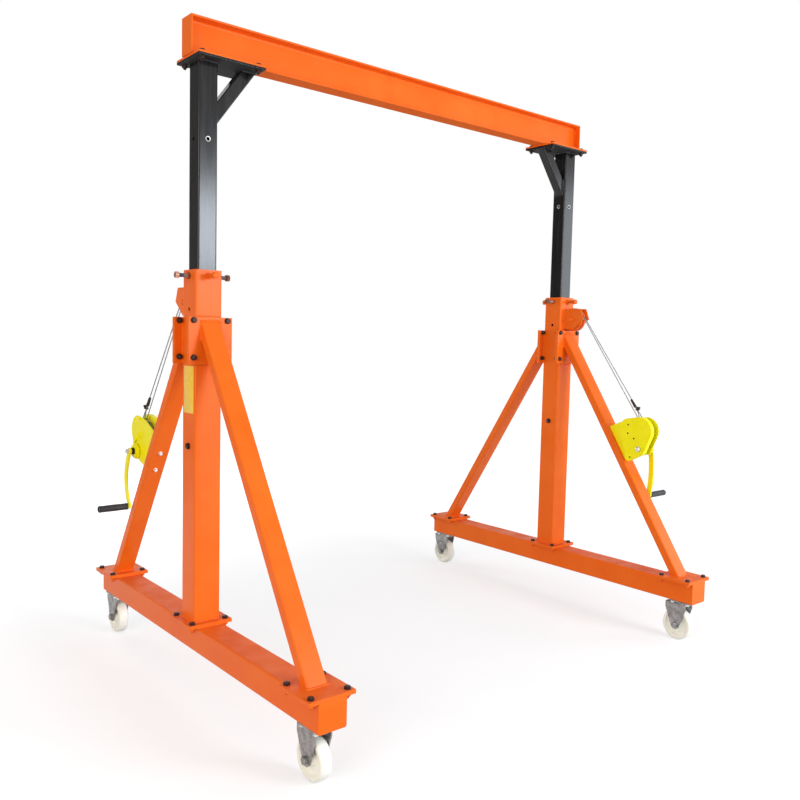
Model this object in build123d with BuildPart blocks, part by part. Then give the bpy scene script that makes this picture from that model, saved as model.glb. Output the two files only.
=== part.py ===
"""Height-adjustable gantry crane: two A-frames on swivel casters carry a beam on telescoping posts.

Millimetres, +Z up, +X along the beam. The origin is on the floor, midway between the two posts.
The two frames are alike and stand turned half round to each other. A frame's own axes have
+x towards the middle of the span and +y towards the brace that carries its hand winch.
"""
from build123d import *

import os
from math import asin, atan2, cos, hypot, pi, radians, sin, sqrt

# Overall sizes
span = 2140
base_length = 1830
beam_overhang = 70
caster_height = 200
post_top_above_base = 1380
beam_under_above_base = 2175

# Square and rectangular tubes
base_width = 110
base_height = 100
base_wall = 5
cap_thickness = 5
post_width = 110
post_wall = 5
inner_width = 80
inner_wall = 5
brace_width = 80
brace_depth = 40
brace_wall = 4
brace_corner = 6
gusset_width = 50
gusset_wall = 4
tube_corner = 7
tube_inner_corner = 2

# Bolted plates of the frames
plate_size = 180
pad_thickness = 6
flange_thickness = 8
flange_low_above_base = 1020
brace_foot_inset = 84
brace_top_drop = 15

# Telescoping posts: overlap at rest, stop bolt and clamp bolts
inner_overlap = 440
stop_bolt_above_base = 701
clamp_drop = 23
pin_hole_drop = 150
inner_pin_hole_drop = 287
bolt_size = 14
bolt_head_width = 22
bolt_head_height = 9
clamp_bolt_length = 58
clamp_nut_height = 11
clamp_tip_gap = 0.3
hole_play = 0.4
pin_hole_size = 16

# Beam: hot-rolled joist with sloping flanges
beam_height = 140
beam_flange = 80
beam_flange_edge = 6.5
beam_flange_root = 11
beam_web = 6
beam_root_fillet = 8
beam_toe_fillet = 3
end_plate_thickness = 6

# Head plates and gussets
head_length = 280
head_width = 190
head_outer_margin = 5
head_thickness = 8
gusset_end_margin = 5
gusset_drop = 229
gusset_depth = 50
gusset_corner = 5

# Swivel casters
caster_end_inset = 72
caster_trail = 27
caster_plate = 104
caster_plate_thickness = 6
race_radius = 36
race_height = 11
swivel_gap = 0.3
crown_radius = 36
crown_thickness = 6
hood_front = 25
hood_rear = 82
hood_skirt = 20
kingpin_size = 14
kingpin_nut_width = 24
kingpin_nut_height = 9
fork_gap = 56
fork_leg_thickness = 5
fork_eye_radius = 22
wheel_size = 150
wheel_width = 45
wheel_hub_radius = 21
wheel_hub_width = 52
wheel_web = 18
wheel_rim_depth = 17
wheel_edge = 7
axle_size = 15
axle_play = 0.3
axle_nut_width = 24
axle_nut_height = 11

# Guide pulley at the head of each outer post, and the hoist rope over it
pulley_pitch_radius = 60
pulley_lip = 1.5
pulley_width = 34
cheek_above_flange = 9
pulley_pin_size = 16
pulley_slot_play = 3
cheek_thickness = 6
cheek_clearance = 3
cheek_below_pulley = 51
cheek_height = 109
cheek_under_reach = 65
cheek_nose_reach = 131
cheek_nose_rise = 54
cheek_top_reach = 110
rope_size = 5
rope_sides = 8
rope_wall_gap = 1
rope_play = 0.4
strand_spacing = 9
rope_end_drop = 80
rope_tail = 95
rope_clip_up = 57
rope_clip_length = 14
rope_clip_width = 11
rope_clip_lip = 3

# Hand winch on the sloping outer face of one brace
winch_along_brace = 706
winch_inner_width = 40
winch_wall = 4
winch_base_thickness = 5
winch_base_up = 118
winch_base_down = 72
crank_plate_radius = 32
shoulder_radius = 38
shoulder_up = 62
shoulder_out = 110
brow_radius = 68
brow_up = 9
brow_out = 160
tie_rod_size = 10
tie_rod_up = 68
tie_rod_out = 171
crank_axis_down = 67
crank_axis_out = 112
gear_module = 2.5
gear_teeth = 50
pinion_teeth = 12
gear_width = 10
gear_wall_gap = 5
gear_root_modules = 1.25
tooth_root_share = 0.34
tooth_tip_share = 0.13
mesh_angle = 15
mesh_play = 0.5
drum_radius = 30
drum_flange_radius = 58
drum_flange = 3
drum_end_gap = 5
drum_shaft_size = 22
crank_shaft_size = 16
shaft_play = 0.3
cover_wall = 3
cover_depth = 23
cover_lip = 3
cover_edge = 5
cover_foot_radius = 18
cover_foot_down = 74
cover_foot_out = 36
cover_hole_play = 2
shaft_stub = 4
ratchet_teeth = 16
ratchet_radius = 36
ratchet_depth = 5
ratchet_width = 8
ratchet_gap = 3
pawl_down = 24
pawl_out = 146
pawl_boss_radius = 8
pawl_tip_radius = 2.5
pawl_tip_gap = 2
pawl_lead = 115
crank_radius = 245
crank_bar_width = 26
crank_bar_thickness = 8
crank_bow = 16
brake_radius = 30
brake_width = 7
crank_hub_radius = 15
crank_hub_length = 22
grip_length = 129
grip_boss_radius = 12
grip_boss_length = 6
grip_radius = 15.5
grip_end_chamfer = 4

# Levels and places worked out from the sizes
base_top = caster_height + base_height
foot_level = base_top + pad_thickness
foot_top = foot_level + flange_thickness
post_top = base_top + post_top_above_base
beam_under = base_top + beam_under_above_base
beam_length = span + 2 * beam_overhang
inner_top = beam_under - 2 * head_thickness
inner_bottom = post_top - inner_overlap
flange_low = base_top + flange_low_above_base
foot_centre = (base_length - plate_size) / 2
flange_face = post_width / 2 + flange_thickness
brace_face = flange_face + flange_thickness
brace_foot = base_length / 2 - brace_foot_inset
brace_top = flange_low + plate_size - brace_top_drop
brace_angle = atan2(brace_top - foot_top, brace_foot - brace_face)
head_middle = head_length / 2 - (beam_overhang - head_outer_margin)
gusset_reach = head_middle + head_length / 2 - gusset_end_margin - inner_width / 2
rope_y = post_width / 2 - post_wall - rope_wall_gap - rope_size / 2
pulley_y = rope_y + pulley_pitch_radius
cheek_low = flange_low + plate_size + cheek_above_flange
pulley_z = cheek_low + cheek_below_pulley
pulley_rim = pulley_pitch_radius + pulley_lip

frames = {
    "left": Location((-span / 2, 0, 0)),
    "right": Location((span / 2, 0, 0), (0, 0, 180)),
}
half_turn = Location((0, 0, 0), (0, 0, 180))
os.makedirs("parts", exist_ok=True)


def save(part, name):
    """Label a finished piece and write it as its own file."""
    part.label = name
    export_step(part, f"parts/{name}.step")


def placed(frame, plane):
    """Carry a plane from a frame's own axes into the crane's."""
    return Plane(frame * plane.location)


def square_tube(width, height, wall):
    """Sketch a rectangular tube's section with rounded corners about the current origin."""
    RectangleRounded(width, height, tube_corner)
    RectangleRounded(width - 2 * wall, height - 2 * wall, tube_inner_corner, mode=Mode.SUBTRACT)


# Base beams

def base_beam(side, frame):
    """Tube along y with a welded pad plate under the post and under each brace foot."""
    tube_length = base_length - 2 * cap_thickness
    with BuildPart() as beam:
        with BuildSketch(placed(frame, Plane.XZ.offset(-tube_length / 2))):
            with Locations((0, caster_height + base_height / 2)):
                square_tube(base_width, base_height, base_wall)
        extrude(amount=tube_length)
        with BuildSketch(placed(frame, Plane.XY.offset(base_top))):
            with Locations((0, -foot_centre), (0, 0), (0, foot_centre)):
                Rectangle(plate_size, plate_size)
        extrude(amount=pad_thickness)
    save(beam.part, f"{side}_base_beam")


def base_caps(side, frame):
    """Two plates that close the ends of a base beam, below its pad plates."""
    with BuildPart() as caps:
        for end in (-1, 1):
            middle = end * (base_length - cap_thickness) / 2
            with BuildSketch(placed(frame, Plane.XZ.offset(-middle))):
                with Locations((0, caster_height + base_height / 2)):
                    RectangleRounded(base_width, base_height, tube_corner)
            extrude(amount=cap_thickness / 2, both=True)
    save(caps.part, f"{side}_base_caps")


# Outer posts

def outer_post(side, frame):
    """Square tube with foot plate, two flange plates for the braces, clamp nuts and bolt holes."""
    flange_middle = flange_low + plate_size / 2
    clamp_level = post_top - clamp_drop
    slot_width = pulley_width + 2 * pulley_slot_play
    slot_reach = pulley_pitch_radius + rope_size / 2 + pulley_slot_play
    slot_half_height = sqrt(slot_reach ** 2 - (pulley_y - post_width / 2) ** 2)
    with BuildPart() as post:
        with BuildSketch(placed(frame, Plane.XY.offset(foot_level))):
            Rectangle(plate_size, plate_size)
        extrude(amount=flange_thickness)
        with BuildSketch(placed(frame, Plane.XY.offset(foot_top))):
            square_tube(post_width, post_width, post_wall)
        extrude(amount=post_top - foot_top)
        for turn in (Location(), half_turn):
            with BuildSketch(placed(frame * turn, Plane.XZ.offset(post_width / 2))):
                with Locations((0, flange_middle)):
                    Rectangle(plate_size, plate_size)
            extrude(amount=flange_thickness)
        for quarter in range(4):
            turned = frame * Location((0, 0, 0), (0, 0, 90 * quarter))
            face = placed(turned, Plane.XZ.offset(post_width / 2))
            with BuildSketch(face):
                with Locations((0, clamp_level)):
                    RegularPolygon(bolt_head_width / 2, 6, major_radius=False)
            extrude(amount=clamp_nut_height)
            with BuildSketch(face):
                with Locations((0, clamp_level)):
                    Circle((bolt_size + hole_play) / 2)
            extrude(amount=2 * clamp_nut_height, both=True, mode=Mode.SUBTRACT)
        with BuildSketch(placed(frame, Plane.YZ)):
            with Locations((0, post_top - pin_hole_drop)):
                Circle(pin_hole_size / 2)
            with Locations((0, base_top + stop_bolt_above_base)):
                Circle((bolt_size + hole_play) / 2)
        extrude(amount=post_width, both=True, mode=Mode.SUBTRACT)
        with BuildSketch(placed(frame, Plane.XZ.offset(-post_width))):
            with Locations((0, pulley_z)):
                Rectangle(slot_width, 2 * slot_half_height)
        extrude(amount=post_width - inner_width / 2, mode=Mode.SUBTRACT)
    save(post.part, f"{side}_outer_post")


def post_bolts(side, frame):
    """Four clamp bolts that centre the inner post, and the stop bolt across the outer post."""
    clamp_level = post_top - clamp_drop
    tip = inner_width / 2 + clamp_tip_gap
    head_end = post_width / 2 + clamp_bolt_length
    stop_level = base_top + stop_bolt_above_base
    with BuildPart() as bolts:
        for quarter in range(4):
            turned = frame * Location((0, 0, 0), (0, 0, 90 * quarter))
            with BuildSketch(placed(turned, Plane.XZ.offset(tip))):
                with Locations((0, clamp_level)):
                    Circle(bolt_size / 2)
            extrude(amount=head_end - tip)
            with BuildSketch(placed(turned, Plane.XZ.offset(head_end - bolt_head_height))):
                with Locations((0, clamp_level)):
                    RegularPolygon(bolt_head_width / 2, 6, major_radius=False)
            extrude(amount=bolt_head_height)
        with BuildSketch(placed(frame, Plane.YZ)):
            with Locations((0, stop_level)):
                Circle(bolt_size / 2)
        extrude(amount=post_width / 2 + bolt_head_height, both=True)
        for end in (-1, 1):
            with BuildSketch(placed(frame, Plane.YZ.offset(end * (post_width + bolt_head_height) / 2))):
                with Locations((0, stop_level)):
                    RegularPolygon(bolt_head_width / 2, 6, major_radius=False)
            extrude(amount=bolt_head_height / 2, both=True)
    save(bolts.part, f"{side}_post_bolts")


# Braces

def brace(name, frame):
    """Rectangular tube from a foot plate on the base beam up to a plate bolted on the post's flange."""
    foot_run = brace_depth / sin(brace_angle)
    head_run = brace_depth / cos(brace_angle)
    foot_wall = brace_wall / sin(brace_angle)
    head_wall = brace_wall / cos(brace_angle)
    with BuildPart() as leg:
        with BuildSketch(placed(frame, Plane.YZ)):
            with BuildLine():
                Polyline(
                    (brace_foot, foot_top),
                    (brace_face, brace_top),
                    (brace_face, brace_top - head_run),
                    (brace_foot - foot_run, foot_top),
                    close=True,
                )
            make_face()
        extrude(amount=brace_width / 2, both=True)
        fillet(leg.edges().filter_by(lambda edge: edge.length > 2 * brace_width), radius=brace_corner)
        with BuildSketch(placed(frame, Plane.YZ)):
            with BuildLine():
                Polyline(
                    (brace_foot - foot_wall, foot_top),
                    (brace_face, brace_top - head_wall),
                    (brace_face, brace_top - head_run + head_wall),
                    (brace_foot - foot_run + foot_wall, foot_top),
                    close=True,
                )
            make_face()
        extrude(amount=brace_width / 2 - brace_wall, both=True, mode=Mode.SUBTRACT)
        with BuildSketch(placed(frame, Plane.XY.offset(foot_level))):
            with Locations((0, foot_centre)):
                Rectangle(plate_size, plate_size)
        extrude(amount=flange_thickness)
        with BuildSketch(placed(frame, Plane.XZ.offset(-brace_face))):
            with Locations((0, flange_low + plate_size / 2)):
                Rectangle(plate_size, plate_size)
        extrude(amount=flange_thickness)
    save(leg.part, name)


# Casters

def caster(name, spot):
    """Fixed plate with kingpin, swivelling fork with axle, and wheel; the fork trails towards +y."""
    plate_under = caster_height - caster_plate_thickness
    race_under = plate_under - race_height
    crown_top = race_under - swivel_gap
    crown_under = crown_top - crown_thickness
    nut_top = crown_under - swivel_gap
    axle_level = wheel_size / 2

    with BuildPart() as plate:
        with BuildSketch(placed(spot, Plane.XY.offset(plate_under))):
            RectangleRounded(caster_plate, caster_plate, tube_corner)
        extrude(amount=caster_plate_thickness)
        with BuildSketch(placed(spot, Plane.XY.offset(race_under))):
            Circle(race_radius)
        extrude(amount=race_height)
        with BuildSketch(placed(spot, Plane.XY.offset(nut_top))):
            Circle(kingpin_size / 2)
        extrude(amount=race_under - nut_top)
        with BuildSketch(placed(spot, Plane.XY.offset(nut_top - kingpin_nut_height))):
            RegularPolygon(kingpin_nut_width / 2, 6, major_radius=False)
        extrude(amount=kingpin_nut_height)
    save(plate.part, f"{name}_caster_plate")

    leg_middle = (fork_gap + fork_leg_thickness) / 2
    hood_middle = (hood_rear - hood_front) / 2
    hood_length = hood_front + hood_rear
    with BuildPart() as fork:
        with BuildSketch(placed(spot, Plane.XY.offset(crown_under))):
            Circle(crown_radius)
            with Locations((0, hood_middle)):
                Rectangle(fork_gap + 2 * fork_leg_thickness, hood_length)
            Circle(kingpin_size / 2 + axle_play, mode=Mode.SUBTRACT)
        extrude(amount=crown_thickness)
        for hand in (-1, 1):
            with BuildSketch(placed(spot, Plane.YZ.offset(hand * leg_middle))):
                with Locations((hood_middle, crown_under - hood_skirt / 2)):
                    Rectangle(hood_length, hood_skirt)
                with Locations((caster_trail, axle_level)):
                    Circle(fork_eye_radius)
                make_hull()
            extrude(amount=fork_leg_thickness / 2, both=True)
            with BuildSketch(placed(spot, Plane.YZ.offset(hand * (leg_middle + fork_leg_thickness / 2)))):
                with Locations((caster_trail, axle_level)):
                    RegularPolygon(axle_nut_width / 2, 6, major_radius=False)
            extrude(amount=hand * axle_nut_height)
        with BuildSketch(placed(spot, Plane.YZ)):
            with Locations((caster_trail, axle_level)):
                Circle(axle_size / 2)
        extrude(amount=fork_gap / 2, both=True)
    save(fork.part, f"{name}_caster_fork")

    wheel_plane = placed(spot, Plane((0, caster_trail, axle_level), x_dir=(1, 0, 0), z_dir=(0, -1, 0)))
    radius = wheel_size / 2
    rim_inner = radius - wheel_rim_depth
    with BuildPart() as wheel:
        with BuildSketch(wheel_plane):
            with Locations((0, (radius + rim_inner) / 2)):
                Rectangle(wheel_width, wheel_rim_depth)
            with Locations((0, rim_inner / 2)):
                Rectangle(wheel_web, rim_inner)
            with Locations((0, wheel_hub_radius / 2)):
                Rectangle(wheel_hub_width, wheel_hub_radius)
            with Locations((0, 0)):
                Rectangle(wheel_hub_width, axle_size + 2 * axle_play, mode=Mode.SUBTRACT)
        revolve(axis=Axis(wheel_plane.origin, wheel_plane.x_dir))
        chamfer(wheel.edges().filter_by(GeomType.CIRCLE).sort_by(SortBy.RADIUS)[-2:], length=wheel_edge)
    save(wheel.part, f"{name}_caster_wheel")


# Guide pulleys and hoist ropes

def pulley_bracket(side, frame):
    """Two five-sided cheek plates on the post's face, with the pin that carries the guide pulley."""
    cheek = pulley_width / 2 + cheek_clearance
    root = post_width / 2
    low = cheek_low
    high = low + cheek_height
    with BuildPart() as bracket:
        for hand in (-1, 1):
            with BuildSketch(placed(frame, Plane.YZ.offset(hand * (cheek + cheek_thickness / 2)))):
                with BuildLine():
                    Polyline(
                        (root, low),
                        (root + cheek_under_reach, low),
                        (root + cheek_nose_reach, low + cheek_nose_rise),
                        (root + cheek_top_reach, high),
                        (root, high),
                        close=True,
                    )
                make_face()
            extrude(amount=cheek_thickness / 2, both=True)
        with BuildSketch(placed(frame, Plane.YZ)):
            with Locations((pulley_y, pulley_z)):
                Circle(pulley_pin_size / 2)
        extrude(amount=cheek + cheek_thickness, both=True)
    save(bracket.part, f"{side}_pulley_bracket")


def guide_pulley(side, frame):
    """Sheave with two rope grooves side by side, turning on the bracket's pin."""
    plane = placed(frame, Plane((0, pulley_y, pulley_z), x_dir=(1, 0, 0), z_dir=(0, -1, 0)))
    groove = rope_size / 2 + rope_play
    with BuildPart() as pulley:
        with BuildSketch(plane):
            with Locations((0, pulley_rim / 2)):
                Rectangle(pulley_width, pulley_rim)
            with Locations((0, 0)):
                Rectangle(pulley_width, pulley_pin_size + 2 * axle_play, mode=Mode.SUBTRACT)
            for hand in (-1, 1):
                with Locations((hand * strand_spacing / 2, pulley_pitch_radius + groove)):
                    Rectangle(2 * groove, 4 * groove, mode=Mode.SUBTRACT)
        revolve(axis=Axis(plane.origin, plane.x_dir))
    save(pulley.part, f"{side}_guide_pulley")


# Hand winches: v runs down the brace, w stands square out of its outer face

winch_y = brace_foot - winch_along_brace * cos(brace_angle)
winch_z = foot_top + winch_along_brace * sin(brace_angle)
winch_side = Plane(
    (0, winch_y, winch_z),
    x_dir=(0, cos(brace_angle), -sin(brace_angle)),
    z_dir=(1, 0, 0),
)
centre_distance = gear_module * (gear_teeth + pinion_teeth) / 2 + mesh_play
drum_down = crank_axis_down - centre_distance * cos(radians(mesh_angle))
drum_out = crank_axis_out + centre_distance * sin(radians(mesh_angle))
winch_half = winch_inner_width / 2 + winch_wall
tie_point = winch_side.from_local_coords((-tie_rod_up, tie_rod_out, 0))
crank_point = winch_side.from_local_coords((crank_axis_down, crank_axis_out, 0))
drum_point = winch_side.from_local_coords((drum_down, drum_out, 0))


def around(centre, radius, angle):
    """Point (y, z) on a circle round a centre given as (y, z)."""
    return (centre[0] + radius * cos(angle), centre[1] + radius * sin(angle))


def gear_points(teeth, turn, centre):
    """Corners of a spur gear with straight-flanked teeth; the first tooth points at the angle turn."""
    pitch = gear_module * teeth / 2
    tip = pitch + gear_module
    root = pitch - gear_root_modules * gear_module
    step = 2 * pi / teeth
    points = []
    for tooth in range(teeth):
        middle = turn + tooth * step
        for share, radius in (
            (-tooth_root_share, root),
            (-tooth_tip_share, tip),
            (tooth_tip_share, tip),
            (tooth_root_share, root),
        ):
            angle = middle + share * step
            points.append((centre[0] + radius * cos(angle), centre[1] + radius * sin(angle)))
    return points


def winch_lobes(lip):
    """Sketch the three round lobes whose hull is the winch's outline, all larger by a lip."""
    with Locations((-brow_up, brow_out)):
        Circle(brow_radius + lip)
    with Locations((-shoulder_up, shoulder_out)):
        Circle(shoulder_radius + lip)
    with Locations((crank_axis_down, crank_axis_out)):
        Circle(crank_plate_radius + lip)


def winch_frame(side, frame):
    """Two rounded side plates on a base bolted to the brace, a tie rod, and the pawl beside the ratchet."""
    pawl_tip = ratchet_radius + pawl_tip_gap + pawl_tip_radius
    base_middle = (winch_base_down - winch_base_up) / 2
    base_length = winch_base_up + winch_base_down
    with BuildPart() as shell:
        for hand in (-1, 1):
            with BuildSketch(placed(frame, winch_side.offset(hand * winch_inner_width / 2))):
                with Locations((base_middle, winch_base_thickness / 2)):
                    Rectangle(base_length, winch_base_thickness)
                winch_lobes(0)
                make_hull()
                with Locations((drum_down, drum_out)):
                    Circle(drum_shaft_size / 2 + shaft_play, mode=Mode.SUBTRACT)
                with Locations((crank_axis_down, crank_axis_out)):
                    Circle(crank_shaft_size / 2 + shaft_play, mode=Mode.SUBTRACT)
            extrude(amount=hand * winch_wall)
        with BuildSketch(placed(frame, winch_side)):
            with Locations((base_middle, winch_base_thickness / 2)):
                Rectangle(base_length, winch_base_thickness)
            with Locations((-tie_rod_up, tie_rod_out)):
                Circle(tie_rod_size / 2)
        extrude(amount=winch_half, both=True)
        with BuildSketch(placed(frame, winch_side.offset(-winch_half))):
            with Locations((pawl_down, pawl_out)):
                Circle(pawl_boss_radius)
        extrude(amount=-ratchet_gap)
        with BuildSketch(placed(frame, winch_side.offset(-winch_half - ratchet_gap))):
            with Locations((pawl_down, pawl_out)):
                Circle(pawl_boss_radius)
            with Locations(around((crank_axis_down, crank_axis_out), pawl_tip, radians(pawl_lead))):
                Circle(pawl_tip_radius)
            make_hull()
        extrude(amount=-ratchet_width)
    save(shell.part, f"{side}_winch_frame")


def cover_outline(lip):
    """Sketch the gear cover's outline: the winch's lobes and a foot near the brace, larger by a lip."""
    winch_lobes(lip)
    with Locations((cover_foot_down, cover_foot_out)):
        Circle(cover_foot_radius + lip)
    make_hull()


def winch_cover(side, frame):
    """Pressed gear cover on the side plate away from the crank, open towards that plate."""
    near = placed(frame, winch_side.offset(winch_half))
    with BuildPart() as cover:
        with BuildSketch(near):
            cover_outline(cover_lip)
        extrude(amount=cover_depth)
        outward = placed(frame, Plane.YZ)
        far_face = cover.faces().sort_by(Axis(outward.origin, outward.z_dir))[-1]
        fillet(far_face.edges(), radius=cover_edge)
        with BuildSketch(near):
            cover_outline(cover_lip - cover_wall)
        extrude(amount=cover_depth - cover_wall, mode=Mode.SUBTRACT)
        with BuildSketch(near):
            with Locations((crank_axis_down, crank_axis_out)):
                Circle(crank_shaft_size / 2 + cover_hole_play)
        extrude(amount=cover_depth, mode=Mode.SUBTRACT)
    save(cover.part, f"{side}_winch_cover")


def winch_drum(side, frame):
    """Rope drum with two flanges, its shaft and the large gear beyond the side plate."""
    half = winch_inner_width / 2 - drum_end_gap
    gear_near = winch_half + gear_wall_gap
    with BuildPart() as drum:
        with BuildSketch(placed(frame, winch_side.offset(-half))):
            with Locations((drum_down, drum_out)):
                Circle(drum_radius)
        extrude(amount=2 * half)
        for near in (-half, half - drum_flange):
            with BuildSketch(placed(frame, winch_side.offset(near))):
                with Locations((drum_down, drum_out)):
                    Circle(drum_flange_radius)
            extrude(amount=drum_flange)
        with BuildSketch(placed(frame, winch_side.offset(-winch_half))):
            with Locations((drum_down, drum_out)):
                Circle(drum_shaft_size / 2)
        extrude(amount=winch_half + gear_near)
        with BuildSketch(placed(frame, winch_side.offset(gear_near))):
            with BuildLine():
                Polyline(*gear_points(gear_teeth, -radians(mesh_angle), (drum_down, drum_out)), close=True)
            make_face()
        extrude(amount=gear_width)
    save(drum.part, f"{side}_winch_drum")


def ratchet_points(centre):
    """Corners of the ratchet wheel's saw teeth: a slope up to each tip and a radial drop behind it."""
    step = 2 * pi / ratchet_teeth
    points = []
    for tooth in range(ratchet_teeth):
        points.append(around(centre, ratchet_radius - ratchet_depth, tooth * step))
        points.append(around(centre, ratchet_radius, (tooth + 1) * step))
    return points


def winch_crank(side, frame):
    """Pinion shaft with ratchet wheel, brake disc, hub and bowed crank arm hanging straight down."""
    gear_near = winch_half + gear_wall_gap
    ratchet_far = winch_half + ratchet_gap + ratchet_width
    brake_far = ratchet_far + brake_width
    hub_far = brake_far + crank_hub_length
    shaft_end = winch_half + cover_depth + shaft_stub
    arm_x = -(hub_far - crank_bar_thickness / 2)
    arm_y = crank_point.Y
    grip_face = arm_x - crank_bar_thickness / 2 - grip_boss_length
    axis_spot = (crank_axis_down, crank_axis_out)
    with BuildPart() as crank:
        with BuildSketch(placed(frame, winch_side.offset(-ratchet_far))):
            with Locations(axis_spot):
                Circle(crank_shaft_size / 2)
        extrude(amount=ratchet_far + shaft_end)
        with BuildSketch(placed(frame, winch_side.offset(gear_near))):
            with BuildLine():
                facing = pi - radians(mesh_angle) + pi / pinion_teeth
                Polyline(*gear_points(pinion_teeth, facing, axis_spot), close=True)
            make_face()
        extrude(amount=gear_width)
        with BuildSketch(placed(frame, winch_side.offset(-ratchet_far))):
            with BuildLine():
                Polyline(*ratchet_points(axis_spot), close=True)
            make_face()
        extrude(amount=ratchet_width)
        for far, radius, width in (
            (brake_far, brake_radius, brake_width),
            (hub_far, crank_hub_radius, crank_hub_length),
        ):
            with BuildSketch(placed(frame, winch_side.offset(-far))):
                with Locations(axis_spot):
                    Circle(radius)
            extrude(amount=width)
        with BuildSketch(placed(frame, Plane.XZ.offset(-arm_y - crank_bar_width / 2))):
            with BuildLine():
                low = (arm_x, crank_point.Z - crank_radius)
                middle = (arm_x - crank_bow, crank_point.Z - crank_radius / 2)
                high = (arm_x, crank_point.Z)
                ThreePointArc(low, middle, high)
                offset(amount=crank_bar_thickness / 2)
            make_face()
        extrude(amount=crank_bar_width)
        with BuildSketch(placed(frame, Plane.YZ.offset(grip_face))):
            with Locations((arm_y, crank_point.Z - crank_radius)):
                Circle(grip_boss_radius)
        extrude(amount=arm_x - grip_face)
    save(crank.part, f"{side}_winch_crank")

    with BuildPart() as grip:
        with BuildSketch(placed(frame, Plane.YZ.offset(grip_face))):
            with Locations((arm_y, crank_point.Z - crank_radius)):
                Circle(grip_radius)
        extrude(amount=-grip_length)
        chamfer(grip.edges().filter_by(GeomType.CIRCLE), length=grip_end_chamfer)
    save(grip.part, f"{side}_crank_grip")


def strand(target, radius):
    """Heading of the straight strand that touches the guide pulley and a circle round target from outside."""
    across = target.Y - pulley_y
    drop = target.Z - pulley_z
    return atan2(drop, across) - asin((pulley_pitch_radius - radius) / hypot(across, drop))


def hoist_rope(side, frame):
    """Two taut strands over the pulley: one wound on the drum, one clipped back round the tie rod."""
    pulley = (pulley_y, pulley_z)
    drum = (drum_point.Y, drum_point.Z)
    tie = (tie_point.Y, tie_point.Z)
    wound = drum_radius + rope_size / 2 + rope_play
    loop = (tie_rod_size + rope_size) / 2 + rope_play
    hidden_end = (rope_y, pulley_z - rope_end_drop)
    side_point = (rope_y, pulley_z)
    with BuildPart() as rope:
        heading = strand(drum_point, wound)
        outward = heading + pi / 2
        top = around(pulley, pulley_pitch_radius, outward)
        crest = around(pulley, pulley_pitch_radius, (pi + outward) / 2)
        near = Plane.YZ.offset(strand_spacing / 2)
        with BuildLine(placed(frame, near)) as path:
            Line(hidden_end, side_point)
            ThreePointArc(side_point, crest, top)
            Line(top, around(drum, wound, outward))
        with BuildSketch(placed(frame, Plane((strand_spacing / 2, *hidden_end)))):
            RegularPolygon(rope_size / 2, rope_sides)
        sweep(path=path.wires()[0])

        heading = strand(tie_point, loop)
        outward = heading + pi / 2
        top = around(pulley, pulley_pitch_radius, outward)
        crest = around(pulley, pulley_pitch_radius, (pi + outward) / 2)
        bottom = around(tie, loop, outward + pi)
        tail = around(bottom, rope_tail, heading + pi)
        far = Plane.YZ.offset(-strand_spacing / 2)
        with BuildLine(placed(frame, far)) as path:
            Line(hidden_end, side_point)
            ThreePointArc(side_point, crest, top)
            Line(top, around(tie, loop, outward))
            ThreePointArc(around(tie, loop, outward), around(tie, loop, heading), bottom)
            Line(bottom, tail)
        with BuildSketch(placed(frame, Plane((-strand_spacing / 2, *hidden_end)))):
            RegularPolygon(rope_size / 2, rope_sides)
        sweep(path=path.wires()[0])
        clip = around(tie, rope_clip_up, heading + pi)
        clip_plane = Plane(
            (-strand_spacing / 2, *clip),
            x_dir=(1, 0, 0),
            z_dir=(0, cos(heading), sin(heading)),
        )
        with BuildSketch(placed(frame, clip_plane)):
            Rectangle(rope_clip_width, 2 * loop + rope_size + 2 * rope_clip_lip)
        extrude(amount=rope_clip_length / 2, both=True)
    save(rope.part, f"{side}_hoist_rope")


# Bridge: beam, head plates and inner posts

def main_beam():
    """Rolled joist along X whose flanges thicken towards the web."""
    half = beam_height / 2
    quarter = [
        (beam_flange / 2, half),
        (beam_flange / 2, half - beam_flange_edge),
        (beam_web / 2, half - beam_flange_root),
    ]
    right = quarter + [(y, -z) for y, z in reversed(quarter)]
    left = [(-y, z) for y, z in reversed(right)]
    joist_length = beam_length - 2 * end_plate_thickness
    end = Plane((-joist_length / 2, 0, beam_under + half), x_dir=(0, 1, 0), z_dir=(1, 0, 0))
    with BuildPart() as beam:
        with BuildSketch(end) as section:
            with BuildLine():
                Polyline(*right, *left, close=True)
            make_face()
            roots = section.vertices().filter_by(lambda corner: abs(corner.X) < beam_web)
            fillet(roots, radius=beam_root_fillet)
            toes = section.vertices().filter_by(
                lambda corner: abs(corner.X) > beam_flange / 4 and abs(corner.Y) < half - beam_flange_edge / 2
            )
            fillet(toes, radius=beam_toe_fillet)
        extrude(amount=joist_length)
    save(beam.part, "main_beam")


def beam_end_plates():
    """Two plates welded over the ends of the joist, flush with its flanges."""
    with BuildPart() as plates:
        for end in (-1, 1):
            with BuildSketch(Plane.YZ.offset(end * (beam_length - end_plate_thickness) / 2)):
                with Locations((0, beam_under + beam_height / 2)):
                    Rectangle(beam_flange, beam_height)
            extrude(amount=end_plate_thickness / 2, both=True)
    save(plates.part, "beam_end_plates")


def head_plate(side, frame):
    """Plate welded under the beam's end."""
    with BuildPart() as plate:
        with BuildSketch(placed(frame, Plane.XY.offset(beam_under - head_thickness))):
            with Locations((head_middle, 0)):
                Rectangle(head_length, head_width)
        extrude(amount=head_thickness)
    save(plate.part, f"{side}_head_plate")


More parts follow.
